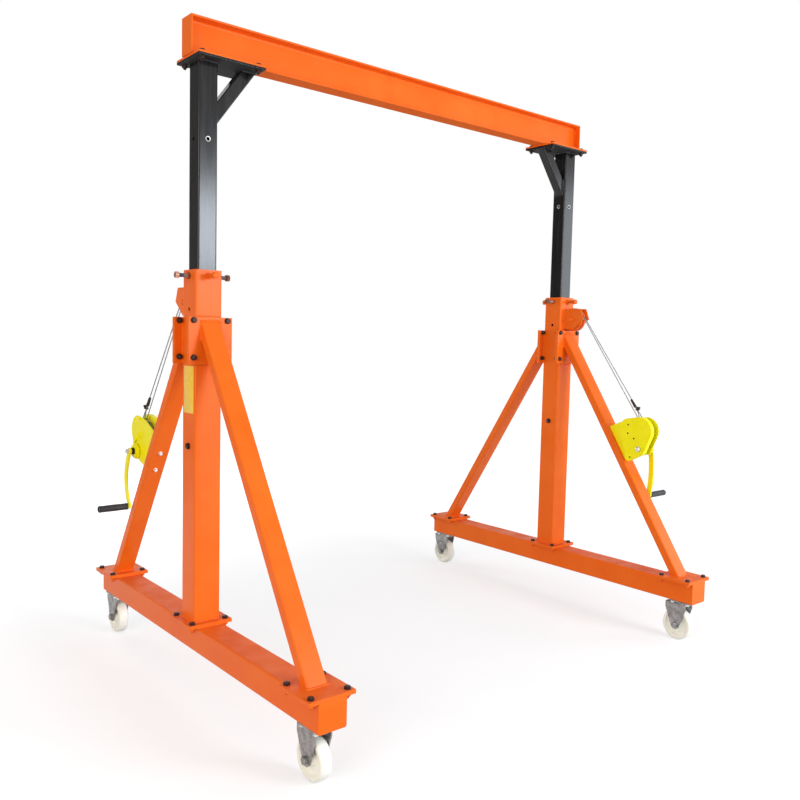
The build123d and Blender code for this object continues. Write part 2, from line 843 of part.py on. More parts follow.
def inner_post(side, frame):
    """Sliding square tube with its top plate and a diagonal gusset tube towards the span."""
    face = inner_width / 2
    slope = atan2(gusset_drop, gusset_reach)
    rise = gusset_depth / cos(slope)
    shift = gusset_depth / sin(slope)
    wall_rise = gusset_wall / cos(slope)
    wall_shift = gusset_wall / sin(slope)
    low = inner_top - gusset_drop
    with BuildPart() as post:
        with BuildSketch(placed(frame, Plane.XZ)):
            with BuildLine():
                Polyline(
                    (face, low),
                    (face + gusset_reach, inner_top),
                    (face + gusset_reach - shift, inner_top),
                    (face, low + rise),
                    close=True,
                )
            make_face()
        extrude(amount=gusset_width / 2, both=True)
        fillet(post.edges().filter_by(lambda edge: edge.length > 2 * gusset_width), radius=gusset_corner)
        with BuildSketch(placed(frame, Plane.XZ)):
            with BuildLine():
                Polyline(
                    (face, low + wall_rise),
                    (face + gusset_reach - wall_shift, inner_top),
                    (face + gusset_reach - shift + wall_shift, inner_top),
                    (face, low + rise - wall_rise),
                    close=True,
                )
            make_face()
        extrude(amount=gusset_width / 2 - gusset_wall, both=True, mode=Mode.SUBTRACT)
        with BuildSketch(placed(frame, Plane.XY.offset(inner_bottom))):
            square_tube(inner_width, inner_width, inner_wall)
        extrude(amount=inner_top - inner_bottom)
        with BuildSketch(placed(frame, Plane.XY.offset(inner_top))):
            with Locations((head_middle, 0)):
                Rectangle(head_length, head_width)
        extrude(amount=head_thickness)
        with BuildSketch(placed(frame, Plane.XZ)):
            with Locations((0, inner_top - inner_pin_hole_drop)):
                Circle(pin_hole_size / 2)
        extrude(amount=inner_width, both=True, mode=Mode.SUBTRACT)
        with BuildSketch(placed(frame, Plane.YZ)):
            with Locations((0, inner_top - inner_pin_hole_drop)):
                Circle(pin_hole_size / 2)
        extrude(amount=inner_width, both=True, mode=Mode.SUBTRACT)
    save(post.part, f"{side}_inner_post")


# Build every piece

main_beam()
beam_end_plates()
for side, frame in frames.items():
    base_beam(side, frame)
    base_caps(side, frame)
    outer_post(side, frame)
    post_bolts(side, frame)
    brace(f"{side}_winch_brace", frame)
    brace(f"{side}_plain_brace", frame * half_turn)
    pulley_bracket(side, frame)
    guide_pulley(side, frame)
    winch_frame(side, frame)
    winch_cover(side, frame)
    winch_drum(side, frame)
    winch_crank(side, frame)
    hoist_rope(side, frame)
    head_plate(side, frame)
    inner_post(side, frame)
    for end, y in (("front", -1), ("rear", 1)):
        x = frame.position.X
        caster(f"{side}_{end}", Location((x, y * (base_length / 2 - caster_end_inset), 0)))
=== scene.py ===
"""Looks of a height-adjustable gantry crane: paints, fasteners, weld beads, wire ropes, wheels and light.

Metres, +Z up, +X along the beam. The two A-frames are alike and stand turned half round to each other.
A frame's own axes have +x towards the middle of the span and +y towards the brace with the hand winch,
and stand() carries points from them into the crane's axes.
"""
import math

import bpy
import numpy as np
from mathutils import Matrix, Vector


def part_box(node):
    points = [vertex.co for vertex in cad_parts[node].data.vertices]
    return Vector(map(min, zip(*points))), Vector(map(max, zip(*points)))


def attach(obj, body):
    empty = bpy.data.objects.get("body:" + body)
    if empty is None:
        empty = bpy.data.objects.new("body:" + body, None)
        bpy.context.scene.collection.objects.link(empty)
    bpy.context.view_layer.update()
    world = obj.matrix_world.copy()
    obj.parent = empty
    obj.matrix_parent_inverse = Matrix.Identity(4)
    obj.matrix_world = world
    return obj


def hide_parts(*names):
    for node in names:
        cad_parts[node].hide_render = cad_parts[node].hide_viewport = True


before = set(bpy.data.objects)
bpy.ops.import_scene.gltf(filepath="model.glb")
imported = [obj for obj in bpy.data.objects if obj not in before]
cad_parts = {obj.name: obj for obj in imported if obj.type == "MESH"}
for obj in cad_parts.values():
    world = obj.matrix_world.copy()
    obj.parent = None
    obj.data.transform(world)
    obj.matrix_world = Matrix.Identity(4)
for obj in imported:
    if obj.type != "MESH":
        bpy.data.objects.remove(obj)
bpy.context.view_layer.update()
x_axis, y_axis, z_axis = np.eye(3)

# Places read from the frame
post_low, post_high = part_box("left_outer_post")
base_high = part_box("left_base_beam")[1]
inner_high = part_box("left_inner_post")[1]
head_low, head_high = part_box("left_head_plate")
beam_low, beam_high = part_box("main_beam")
cover_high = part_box("left_winch_cover")[1]
grip_low, grip_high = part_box("left_crank_grip")
bracket_low, bracket_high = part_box("left_pulley_bracket")
bracket_half = (bracket_high.x - bracket_low.x) / 2
span_half = -(post_low.x + post_high.x) / 2

# Bolted plates of the frames
pad_thickness = 0.006
flange_thickness = 0.008
plate_half = 0.090
bolt_spread = 0.070
flange_rows = (-0.0635, 0.0775)
post_half = 0.055
tube_corner = 0.007
base_top = base_high.z - pad_thickness
foot_top = post_low.z + flange_thickness
foot_centre = base_high.y - plate_half
foot_centres = (-foot_centre, 0, foot_centre)
flange_low = 1.320
flange_middle = flange_low + plate_half
flange_high = flange_low + 2 * plate_half
brace_face = post_half + 2 * flange_thickness
brace_foot = 0.831
brace_top = 1.485
brace_half = 0.040
brace_depth = 0.040
brace_angle = math.atan2(brace_top - foot_top, brace_foot - brace_face)

# Forms of fasteners
washer_share = 0.62
washer_thickness = 0.0015
washer_bevel = (0.95, 0.7)
crown_share = 0.93
chamfer_angle = math.radians(30)
thread_pitch = 0.002
thread_depth = 0.55 * thread_pitch
thread_rows = 6
dome_end = 0.47 * math.pi
dome_rows = 6

# Sizes of fasteners: a washer is (radius, thickness), a hexagon (width, height), a dome (radius, height)
# and a thread end (length, radius)
frame_head = (0.019, 0.008)
frame_nut = (0.019, 0.010)
frame_thread = (0.006, 0.006)
stop_head = (0.022, 0.008)
stop_rod = 0.0055
stop_level = 1.001
clamp_head = (0.024, 0.013)
clamp_nut = (0.024, 0.010)
clamp_radius = 0.008
clamp_level = post_high.z - 0.023
clamp_reach = 0.113
tip_play = 0.0003
mount_nut = (0.015, 0.007)
short_thread = (0.004, 0.005)
drum_washer = (0.014, 0.002)
drum_nut = (0.021, 0.007)
tie_nut = (0.016, 0.006)
cover_screw = (0.0045, 0.003)
screw_sink = 0.0003
crank_washer = (0.013, 0.002)
crank_nut = (0.019, 0.009)
shaft_nut = (0.024, 0.007)
shaft_dome = (0.007, 0.003)
pin_washer = (0.015, 0.002)
pin_nut = (0.022, 0.009)
clip_nut = (0.009, 0.006)
caster_washer = (0.0105, 0.0018)
caster_head = (0.016, 0.007)

# Bridge
inner_half = 0.040
inner_top = inner_high.z - flange_thickness
head_inset = 0.022
pin_hole_level = inner_top - 0.287
pin_hole_radius = 0.008
rim_section = np.array([(-0.0004, -0.002), (0.0022, -0.0001), (0.0018, 0.0004), (0.0, 0.0002)])
gusset_half = 0.025
gusset_low = inner_top - 0.229
gusset_high = 2.3139
gusset_near = 0.1477
gusset_far = 0.210
joist_edge = (0.002, 0.008)
joist_root = (0.004, 0.014)

# Weld beads
heavy_bead = 0.0045
row_bead = 0.0042
plain_bead = 0.004
fine_bead = 0.0035
bead_spacing = 0.0016
bead_ripple = 0.0055
bead_swell = 0.13
bead_wander = ((0.10, 61, 0), (0.07, 143, 1))
bead_end = 0.006
bead_tip = 0.001
bead_corner = 0.004
seam_shift = 0.0005
column_sink = 0.001
row_inset = 0.006
pad_seam = 0.985 * post_half

# Casters
caster_inset = 0.072
caster_trail = 0.027
caster_bolt_spread = 0.040
caster_plate_under = 0.194
axle_level = 0.075

# Hand winch: v runs down the brace, w stands square out of its outer face
winch_along_brace = 0.706
crank_spot = (0.067, 0.112)
gear_distance = 0.0780
gear_mesh_angle = math.radians(15)
drum_spot = (
    crank_spot[0] - gear_distance * math.cos(gear_mesh_angle),
    crank_spot[1] + gear_distance * math.sin(gear_mesh_angle),
)
tie_spot = (-0.068, 0.171)
tie_radius = 0.005
winch_half = 0.024
winch_floor = 0.005
winch_bolts = (-0.044, 0.049)
cover_face = cover_high.x + span_half
cover_screws = [(-0.068, 0.120), (-0.031, 0.096), (0.009, 0.114), (0.080, 0.046)]
shaft_end = cover_face + 0.004
crank_radius = 0.245
crank_hub_face = 0.064
hub_radius = 0.015
hub_edge = (hub_radius + 0.0008, hub_radius + 0.0012)
arm_near = span_half + 0.056
arm_edge = (arm_near - 0.0004, arm_near)

# Crank's grip: pairs of (share of the length, share of the radius) along its outside and into its hollow end
grip_radius = 0.0155
grip_profile = np.array([
    (0.0, 0.80), (0.012, 0.94), (0.03, 1.0), (0.05, 0.97), (0.07, 0.92), (0.20, 0.93),
    (0.40, 0.96), (0.60, 0.96), (0.80, 0.93), (0.92, 0.95), (0.96, 0.97), (0.985, 0.92),
    (1.0, 0.78), (1.0, 0.56), (0.985, 0.50), (0.95, 0.46),
])
flute_count = 12
flute_depth = 0.014
flute_range = (0.06, 0.93)
grip_screw = (0.0062, 0.003)
grip_screw_seat = 0.948

# Ropes and guide pulley
pulley_spot = (0.1065, 1.560)
pulley_radius = 0.060
rope_radius = 0.0025
rope_play = 0.0004
rope_lay = 0.030
rope_spacing = 0.0022
rope_end_drop = 0.080
strand_offset = 0.0045
strand_count = 6
strand_radius = rope_radius / 3 * 1.06
drum_radius = 0.030
coil_low = -0.0090
coil_pitch = 2 * rope_radius + 0.0002
pair_gap = 2 * rope_radius + 0.0003
tail_length = 0.105

# Rope clip: saddle layers are (share of the outline, height above the rope's middle)
clip_up = 0.057
clip_leg = 0.0055
clip_bar = 0.0019
clip_tip = 0.0155
clip_spacing = 0.0012
pinch_length = clip_up - 0.012
saddle_half = (0.0085, 0.010)
saddle_corner = 0.003
saddle_top = 0.0085
saddle_layers = ((0.92, rope_radius - 0.0012), (1.0, rope_radius), (1.0, 0.0075), (0.9, saddle_top))
sleeve_start = clip_up + saddle_half[1] + 0.002
sleeve_length = 0.050
sleeve_wide = 0.0078
sleeve_narrow = 0.0056
sleeve_power = 16
sleeve_end = 0.04

# Sticker on the left post: layers are (height above the paint, share of the outline)
sticker_half_width = 0.041
sticker_low = 1.130
sticker_high = 1.312
sticker_corner = 0.004
sticker_layers = ((-0.0002, 1.0), (0.0006, 1.0), (0.0008, 0.995))

# Fineness of the meshes, in points round a piece or along a line
hexagon_columns = 24
small_hexagon_columns = 12
washer_columns = 28
thread_columns = 16
dome_columns = 16
grip_columns = 48
wheel_columns = 72
rod_sides = 16
bead_sides = 8
strand_sides = 6
clip_sides = 10
sleeve_sides = 14
corner_points = 5
pulley_arc_points = 40
tie_arc_points = 24
tail_points = 40
clip_arc_points = 14
sleeve_points = 24
points_per_turn = 90
fewest_points = 4

# Camera, fitted to the photograph's edges of the crane
camera_place = (-2.52581, -2.95190, 1.43706)
camera_yaw = math.radians(-39.85)
camera_pitch = math.radians(-4.29)
camera_roll = math.radians(1.36)
focal_share = 821.51 / 800
sensor_width = 36.0


# Axes of a frame and of its hand winch

side_turn = {"left": (1, 1, 1), "right": (-1, -1, 1)}
side_shift = {"left": -span_half, "right": span_half}
out_of_brace = (0.0, math.sin(brace_angle), math.cos(brace_angle))


def heading(side, direction):
    """Carry a direction from a frame's own axes into the crane's: the right frame is turned half round."""
    return np.asarray(direction, float) * side_turn[side]


def stand(side, points):
    """Carry points from a frame's own axes into the crane's: turned as a heading is, then shifted along X."""
    return heading(side, points) + (side_shift[side], 0, 0)


def on_winch(v, w, x=0.0):
    """Point in a frame's own axes from the winch's axes: v down the brace, w out of its face."""
    y = brace_foot - winch_along_brace * math.cos(brace_angle)
    z = foot_top + winch_along_brace * math.sin(brace_angle)
    return (
        x,
        y + v * math.cos(brace_angle) + w * math.sin(brace_angle),
        z - v * math.sin(brace_angle) + w * math.cos(brace_angle),
    )


# Mesh helpers

smooth_limit = math.radians(38)
upright_limit = 0.9


class Shape:
    """Vertices and faces of one piece, gathered from point grids."""

    def __init__(self):
        self.points = []
        self.faces = []
        self.count = 0

    def grid(self, points, loop=False):
        """Add a grid of points (rows, columns, 3), closed round its columns and by loop or two end caps."""
        rows, columns = points.shape[:2]
        index = self.count + np.arange(rows * columns).reshape(rows, columns)
        across = np.concatenate([index, index[:, :1]], axis=1)
        along = np.concatenate([across, across[:1]], axis=0) if loop else across
        quads = np.stack([along[:-1, :-1], along[:-1, 1:], along[1:, 1:], along[1:, :-1]], axis=-1)
        self.faces += quads.reshape(-1, 4).tolist()
        if not loop:
            self.faces.append(index[0][::-1].tolist())
            self.faces.append(index[-1].tolist())
        self.points.append(points.reshape(-1, 3))
        self.count += rows * columns


def circle(count):
    """Angles of evenly spaced points round a circle."""
    return np.arange(count) * 2 * np.pi / count


def distances(path):
    """Length of a path from its start to each of its points."""
    steps = np.linalg.norm(np.diff(path, axis=0), axis=1)
    return np.concatenate([[0], np.cumsum(steps)])


def basis(axis):
    """Two unit vectors square to an axis, and the unit axis; the first crossed with the second gives it."""
    along = np.asarray(axis, float) / np.linalg.norm(axis)
    helper = z_axis if abs(along[2]) < upright_limit else x_axis
    across = np.cross(helper, along)
    across /= np.linalg.norm(across)
    return across, np.cross(along, across), along


def square_to(path, across, loop=False):
    """Unit vectors square to a path at each point: N, the nearest to across, and B, square to path and N."""
    ahead = np.roll(path, -1, 0) - np.roll(path, 1, 0) if loop else np.gradient(path, axis=0)
    ahead /= np.linalg.norm(ahead, axis=1, keepdims=True)
    across = np.broadcast_to(np.asarray(across, float), path.shape)
    normal = across - (across * ahead).sum(1, keepdims=True) * ahead
    normal /= np.linalg.norm(normal, axis=1, keepdims=True)
    return normal, np.cross(ahead, normal)


def revolve(shape, radii, heights, origin, axis, columns, loop=False):
    """Turned surface: origin + r (cos a N + sin a B) + h axis, r and h given by row or by row and angle."""
    across, up, along = basis(axis)
    angle = circle(columns)
    ring = np.cos(angle)[:, None] * across + np.sin(angle)[:, None] * up
    radii = np.asarray(radii, float).reshape(len(radii), -1, 1)
    heights = np.asarray(heights, float).reshape(len(heights), -1, 1)
    shape.grid(np.asarray(origin, float) + radii * ring + heights * along, loop=loop)


def hexagon(shape, origin, axis, width, height, columns=hexagon_columns):
    """Bolt head or nut: flats at r = f / cos(a mod 60 - 30 degrees), the far end cut back by a cone."""
    angle = circle(columns)
    flat = width / 2
    corner = flat / np.cos(np.mod(angle, np.pi / 3) - np.pi / 6)
    crown = np.full(columns, crown_share * flat)
    shoulder = height - (corner - crown) * math.tan(chamfer_angle)
    flush = np.zeros(columns)
    top = np.full(columns, height)
    revolve(shape, [corner, corner, crown], [flush, shoulder, top], origin, axis, columns)


def washer(shape, origin, axis, radius, thickness):
    """Flat round disc with a small bevel on its free edge."""
    radii = [radius, radius, washer_bevel[0] * radius]
    revolve(shape, radii, [0, washer_bevel[1] * thickness, thickness], origin, axis, washer_columns)


def thread(shape, origin, axis, length, radius):
    """Screw thread: r = R - d (1 + cos(2 pi h / p - a)) / 2, tapered off over the last pitch."""
    rows = max(thread_rows, int(length / thread_pitch * thread_rows))
    height = np.linspace(0, length, rows)[:, None]
    groove = (1 + np.cos(2 * np.pi * height / thread_pitch - circle(thread_columns))) / 2
    taper = np.clip((length - height) / thread_pitch, 0, 1)
    radii = radius - thread_depth * groove - thread_depth * (1 - taper)
    revolve(shape, radii, height, origin, axis, thread_columns)


def dome(shape, origin, axis, radius, height):
    """Rivet or screw head: a quarter ellipse r = R cos t, h = H sin t turned about the axis."""
    turn = np.linspace(0, dome_end, dome_rows)
    revolve(shape, radius * np.cos(turn), height * np.sin(turn), origin, axis, dome_columns)


def sweep(shape, path, across, radii, sides, loop=False):
    """Round tube along a path: path + r (cos a N + sin a B), N square to the path and nearest to across."""
    path = np.asarray(path, float)
    normal, second = square_to(path, across, loop)
    angle = circle(sides)[None, :, None]
    radii = np.broadcast_to(np.asarray(radii, float), path.shape[:1])[:, None, None]
    ring = np.cos(angle) * normal[:, None] + np.sin(angle) * second[:, None]
    shape.grid(path[:, None] + radii * ring, loop=loop)


def resample(corners, spacing, loop=False):
    """Points at an even spacing along a line through the corners."""
    corners = np.asarray(corners, float)
    if loop:
        corners = np.concatenate([corners, corners[:1]])
    along = distances(corners)
    count = max(fewest_points, int(along[-1] / spacing))
    places = np.linspace(0, along[-1], count, endpoint=not loop)
    return np.stack([np.interp(places, along, corners[:, k]) for k in range(3)], axis=1)


def rounded_loop(half_x, half_y, corner):
    """Corners of a rectangle with quarter-circle corners, anticlockwise in its own plane."""
    points = []
    for quarter, (sx, sy) in enumerate(((1, 1), (-1, 1), (-1, -1), (1, -1))):
        for turn in np.linspace(0, np.pi / 2, corner_points) + quarter * np.pi / 2:
            x = sx * (half_x - corner) + corner * math.cos(turn)
            y = sy * (half_y - corner) + corner * math.sin(turn)
            points.append((x, y))
    return np.array(points)


def bead(shape, corners, across, radius, loop=False):
    """Weld bead: a tube along the seam, r (1 + k sin(2 pi s / p) + slow wander), rounded off at open ends."""
    path = resample(corners, bead_spacing, loop)
    along = np.arange(len(path)) * bead_spacing
    wander = sum(share * np.sin(along * rate + phase) for share, rate, phase in bead_wander)
    radii = radius * (1 + bead_swell * np.sin(2 * np.pi * along / bead_ripple) + wander)
    if not loop:
        inward = np.clip(np.minimum(along, along[-1] - along) / bead_end, 0.0, 1.0)
        radii = radii * np.sqrt(1 + bead_tip - (1 - inward) ** 2)
    sweep(shape, path, across, radii, bead_sides, loop)


def piece(name, shape, material, body, replaces=()):
    """Make one object at the origin from a shape and let it ride on a body."""
    mesh = bpy.data.meshes.new(name)
    mesh.from_pydata(np.concatenate(shape.points).tolist(), [], shape.faces)
    mesh.polygons.foreach_set("use_smooth", np.ones(len(mesh.polygons), bool))
    mesh.set_sharp_from_angle(angle=smooth_limit)
    mesh.materials.append(material)
    made = bpy.data.objects.new(name, mesh)
    bpy.context.collection.objects.link(made)
    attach(made, body)
    if replaces:
        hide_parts(*replaces)


# Shader helpers

facing_range = (0.55, 0.95)
edge_samples = 6


class Value:
    """One output of a shader node; arithmetic on it adds Math nodes."""

    def __init__(self, finish, socket):
        self.finish = finish
        self.socket = socket

    def join(self, operation, first, second):
        return self.finish.node("ShaderNodeMath", {"operation": operation}, {0: first, 1: second})

    def __add__(self, other):
        return self.join("ADD", self, other)

    def __radd__(self, other):
        return self.join("ADD", other, self)

    def __sub__(self, other):
        return self.join("SUBTRACT", self, other)

    def __rsub__(self, other):
        return self.join("SUBTRACT", other, self)

    def __mul__(self, other):
        return self.join("MULTIPLY", self, other)

    def __rmul__(self, other):
        return self.join("MULTIPLY", other, self)

    def __pow__(self, other):
        return self.join("POWER", self, other)

    def __abs__(self):
        return self.finish.node("ShaderNodeMath", {"operation": "ABSOLUTE"}, {0: self})

    def either(self, other):
        return self.join("MAXIMUM", self, other)


class Finish:
    """A node tree under construction, with one method that adds any node."""

    def __init__(self, tree):
        self.tree = tree

    def node(self, kind, settings=None, sockets=None, output=0):
        """Add a node, set its settings, then set or link its sockets, and return the asked output."""
        made = self.tree.nodes.new(kind)
        for name, value in (settings or {}).items():
            setattr(made, name, value)
        for name, value in (sockets or {}).items():
            self.feed(made.inputs[name], value)
        return Value(self, made.outputs[output])

    def feed(self, socket, value):
        """Link a value to a socket, or set the socket to a plain number or colour."""
        if isinstance(value, Value):
            self.tree.links.new(value.socket, socket)
        else:
            socket.default_value = value

    def spot(self):
        """Object coordinates."""
        return self.node("ShaderNodeTexCoord", output="Object")

    def noise(self, scale, detail, roughness, stretch=(1, 1, 1)):
        """Noise from 0 to 1 at a scale per metre, with the place scaled along each axis first."""
        place = self.node("ShaderNodeMapping", None, {"Vector": self.spot(), "Scale": stretch})
        sockets = {"Vector": place, "Scale": scale, "Detail": detail, "Roughness": roughness}
        return self.node("ShaderNodeTexNoise", None, sockets, "Fac")

    def rise(self, value, low, high):
        """0 below low and 1 above high, with a smooth step between."""
        settings = {"interpolation_type": "SMOOTHSTEP", "clamp": True}
        return self.node("ShaderNodeMapRange", settings, {0: value, 1: low, 2: high, 3: 0.0, 4: 1.0})

    def mix(self, share, first, second):
        """Colour from first to second by share."""
        return self.node("ShaderNodeMix", {"data_type": "RGBA"}, {0: share, 6: first, 7: second}, 2)

    def blend(self, value, low, high, tones):
        """Colour from the first to the second of two tones while a value rises from low to high."""
        return self.mix(self.rise(value, low, high), *tones)

    def facing(self, sign):
        """1 where the surface faces straight up (sign 1) or straight down (sign -1), 0 on walls."""
        normal = self.node("ShaderNodeTexCoord", output="Normal")
        lift = self.node("ShaderNodeSeparateXYZ", None, {0: normal}, "Z")
        return self.rise(lift * sign, *facing_range)

    def round_edges(self, radius):
        """Normal that rolls over sharp edges as a painted edge does."""
        return self.node("ShaderNodeBevel", {"samples": edge_samples}, {"Radius": radius})

    def bump(self, height, strength, distance, normal=None):
        """Normal of a relief, laid over another normal where one is given."""
        sockets = {"Height": height, "Strength": strength, "Distance": distance}
        if normal is not None:
            sockets["Normal"] = normal
        return self.node("ShaderNodeBump", None, sockets)


def surface(name, constants, build):
    """Material with one principled shader: constants go on its own sockets, build returns what varies."""
    material = bpy.data.materials.new(name)
    material.use_nodes = True
    finish = Finish(material.node_tree)
    shader = material.node_tree.nodes["Principled BSDF"]
    for socket, value in constants.items():
        shader.inputs[socket].default_value = value
    for socket, value in build(finish).items():
        finish.feed(shader.inputs[socket], value)
    return material


def colour(red, green, blue):
    """Opaque colour for a socket."""
    return (red, green, blue, 1.0)


def grey(level):
    """Opaque grey for a socket."""
    return colour(level, level, level)


# Colours: a pair of tones is the range over which a finish wanders

enamel_orange = (colour(0.82, 0.130, 0.005), colour(0.85, 0.154, 0.011))
orange_shade = colour(0.81, 0.118, 0.005)
# Greyed, darker orange of faces that look up: partly dust, partly a painted sky sheen and painted shade on
# the tops
orange_dust_and_sheen = colour(0.68, 0.090, 0.020)
orange_chip = colour(0.30, 0.06, 0.02)
thin_orange = (colour(0.72, 0.10, 0.006), colour(0.82, 0.14, 0.010))
bared_steel = colour(0.30, 0.27, 0.25)
enamel_black = (colour(0.006, 0.0055, 0.0055), colour(0.016, 0.015, 0.015))
enamel_yellow = (colour(0.90, 0.81, 0.002), colour(0.93, 0.85, 0.006))
yellow_scuff = colour(0.55, 0.44, 0.10)
# Dark colour of the crank round its shaft, between the arm and the brake disc
dark_round_hub = colour(0.020, 0.016, 0.014)
dull_plating = (colour(0.40, 0.385, 0.375), colour(0.19, 0.185, 0.185))
bright_plating = (colour(0.80, 0.79, 0.76), colour(0.62, 0.60, 0.57))
copper_plating = (colour(0.80, 0.50, 0.40), colour(0.55, 0.26, 0.18))
worn_plating = (colour(0.30, 0.26, 0.24), colour(0.035, 0.028, 0.026))
blackened_steel = (colour(0.022, 0.009, 0.008), colour(0.085, 0.028, 0.020))
rust_brown = (colour(0.13, 0.045, 0.018), colour(0.36, 0.11, 0.03))
cream_nylon = (colour(0.885, 0.87, 0.755), colour(0.92, 0.91, 0.83))
tread_grime = colour(0.58, 0.54, 0.42)
plastic_black = (colour(0.010, 0.010, 0.012), colour(0.024, 0.024, 0.028))
wire_grey = (colour(0.18, 0.185, 0.195), colour(0.48, 0.49, 0.51))
film_amber = (colour(0.86, 0.53, 0.030), colour(0.89, 0.61, 0.080))
floor_white = (grey(0.55), grey(0.54))
wall_grey = (grey(0.24), grey(0.28))


# Finishes

def sprayed_orange():
    """Gloss orange enamel: mottling, a fine peel, dust on faces that look up with a painted sky sheen and
    painted shade that grey and darken them, dull undersides, chips.
    """
    def build(finish):
        mottle = finish.noise(scale=5.0, detail=4, roughness=0.6)
        cloud = finish.noise(scale=1.7, detail=2, roughness=0.5)
        peel = finish.noise(scale=420, detail=2, roughness=0.5)
        # Faces that look up get dust in patches, and the same mask paints the sky's sheen and a darker shade
        # on them
        dust_and_sheen = finish.facing(1) * finish.rise(finish.noise(scale=9, detail=5, roughness=0.65), 0.25, 0.75)
        chip = finish.rise(finish.noise(scale=95, detail=3, roughness=0.7), 0.735, 0.775)
        warm = finish.blend(mottle, 0.3, 0.7, enamel_orange)
        deep = finish.mix(finish.rise(cloud, 0.35, 0.75) * 0.35, warm, orange_shade)
        dust_and_sheen_tone = finish.mix(dust_and_sheen * 0.55, deep, orange_dust_and_sheen)
        paint = finish.mix(chip * 0.35, dust_and_sheen_tone, orange_chip)
        rough = 0.27 + mottle * 0.12 + dust_and_sheen * 0.25 + finish.facing(-1) * 0.45
        normal = finish.bump(peel * 0.7 + mottle * 0.8, 0.06, 0.001, finish.round_edges(0.0022))
        return {"Base Color": paint, "Roughness": rough, "Normal": normal}
    return surface("sprayed_orange", {"IOR": 1.25}, build)


def gloss_black():
    """Gloss black enamel over slightly wavy tube, with fine runs down its length and dull undersides."""
    def build(finish):
        runs = finish.noise(scale=55, detail=4, roughness=0.6, stretch=(1, 1, 0.08))
        wave = finish.noise(scale=16, detail=3, roughness=0.5, stretch=(1, 1, 0.35))
        grit = finish.noise(scale=240, detail=2, roughness=0.5)
        tone = finish.blend(runs, 0.35, 0.75, enamel_black)
        rough = 0.13 + runs * 0.10 + finish.facing(-1) * 0.65
        relief = wave * 1.2 + runs * 0.4 + grit * 0.15
        normal = finish.bump(relief, 0.10, 0.001, finish.round_edges(0.002))
        return {"Base Color": tone, "Roughness": rough, "Normal": normal}
    return surface("gloss_black", {"IOR": 1.38}, build)


def yellow_enamel(finish):
    """Slightly clouded yellow with a fine peel: its colour, roughness and normal."""
    cloud = finish.noise(scale=22, detail=4, roughness=0.6)
    peel = finish.noise(scale=600, detail=2, roughness=0.5)
    tone = finish.blend(cloud, 0.3, 0.7, enamel_yellow)
    normal = finish.bump(peel * 0.6 + cloud, 0.05, 0.001, finish.round_edges(0.0015))
    return tone, 0.30 + cloud * 0.12, normal


def winch_yellow():
    """Bright yellow enamel with small scuffs."""
    def build(finish):
        tone, rough, normal = yellow_enamel(finish)
        scuff = finish.rise(finish.noise(scale=70, detail=4, roughness=0.7), 0.66, 0.74)
        worn = finish.mix(scuff * 0.30, tone, yellow_scuff)
        return {"Base Color": worn, "Roughness": rough + scuff * 0.15, "Normal": normal}
    return surface("winch_yellow", {"IOR": 1.28}, build)


def crank_yellow():
    """Yellow crank that is dark round its shaft, between the arm and the brake disc."""
    def build(finish):
        tone, rough, normal = yellow_enamel(finish)
        spot = finish.spot()
        x, y, z = [finish.node("ShaderNodeSeparateXYZ", None, {0: spot}, axis) for axis in "XYZ"]
        axis_y, axis_z = on_winch(*crank_spot)[1:]
        radius = ((abs(y) - axis_y) ** 2 + (z - axis_z) ** 2) ** 0.5
        hub = (1 - finish.rise(radius, *hub_edge)) * (1 - finish.rise(abs(x), *arm_edge))
        return {"Base Color": finish.mix(hub, tone, dark_round_hub), "Roughness": rough, "Normal": normal}
    return surface("crank_yellow", {"IOR": 1.28}, build)


def zinc_plate(name, tones, rough_low):
    """Plated steel: cloudy with a fine grain and duller patches."""
    def build(finish):
        cloud = finish.noise(scale=38, detail=4, roughness=0.65)
        grain = finish.noise(scale=500, detail=2, roughness=0.5)
        tone = finish.blend(cloud, 0.3, 0.72, tones)
        normal = finish.bump(grain * 0.5 + cloud * 0.4, 0.06, 0.0008, finish.round_edges(0.0012))
        return {"Base Color": tone, "Roughness": rough_low + cloud * 0.22, "Normal": normal}
    return surface(name, {"Metallic": 0.85}, build)


def black_oxide():
    """Dark bolts: blackened steel with brownish, worn patches."""
    def build(finish):
        cloud = finish.noise(scale=160, detail=4, roughness=0.65)
        tone = finish.blend(cloud, 0.45, 0.75, blackened_steel)
        normal = finish.bump(cloud, 0.08, 0.0005, finish.round_edges(0.0008))
        return {"Base Color": tone, "Roughness": 0.34 + cloud * 0.2, "Normal": normal}
    return surface("black_oxide", {"Metallic": 0.45}, build)


def rusty_steel():
    """Bare steel nuts gone brown."""
    def build(finish):
        cloud = finish.noise(scale=130, detail=5, roughness=0.7)
        tone = finish.blend(cloud, 0.35, 0.7, rust_brown)
        normal = finish.bump(cloud, 0.25, 0.0008)
        return {"Base Color": tone, "Roughness": 0.5 + cloud * 0.3, "Normal": normal}
    return surface("rusty_steel", {"Metallic": 0.3}, build)


def oversprayed_pulley():
    """Steel pulley sprayed together with its bracket: orange all over, worn to metal in patches."""
    def build(finish):
        cloud = finish.noise(scale=45, detail=4, roughness=0.65)
        worn = finish.rise(finish.noise(scale=85, detail=5, roughness=0.7), 0.60, 0.72)
        coat = finish.blend(cloud, 0.3, 0.7, thin_orange)
        tone = finish.mix(worn * 0.8, coat, bared_steel)
        rough = 0.36 + cloud * 0.15
        normal = finish.bump(worn * -0.6 + cloud * 0.3, 0.10, 0.0008, finish.round_edges(0.0012))
        return {"Base Color": tone, "Roughness": rough, "Metallic": worn * 0.7, "Normal": normal}
    return surface("oversprayed_pulley", {"IOR": 1.25}, build)


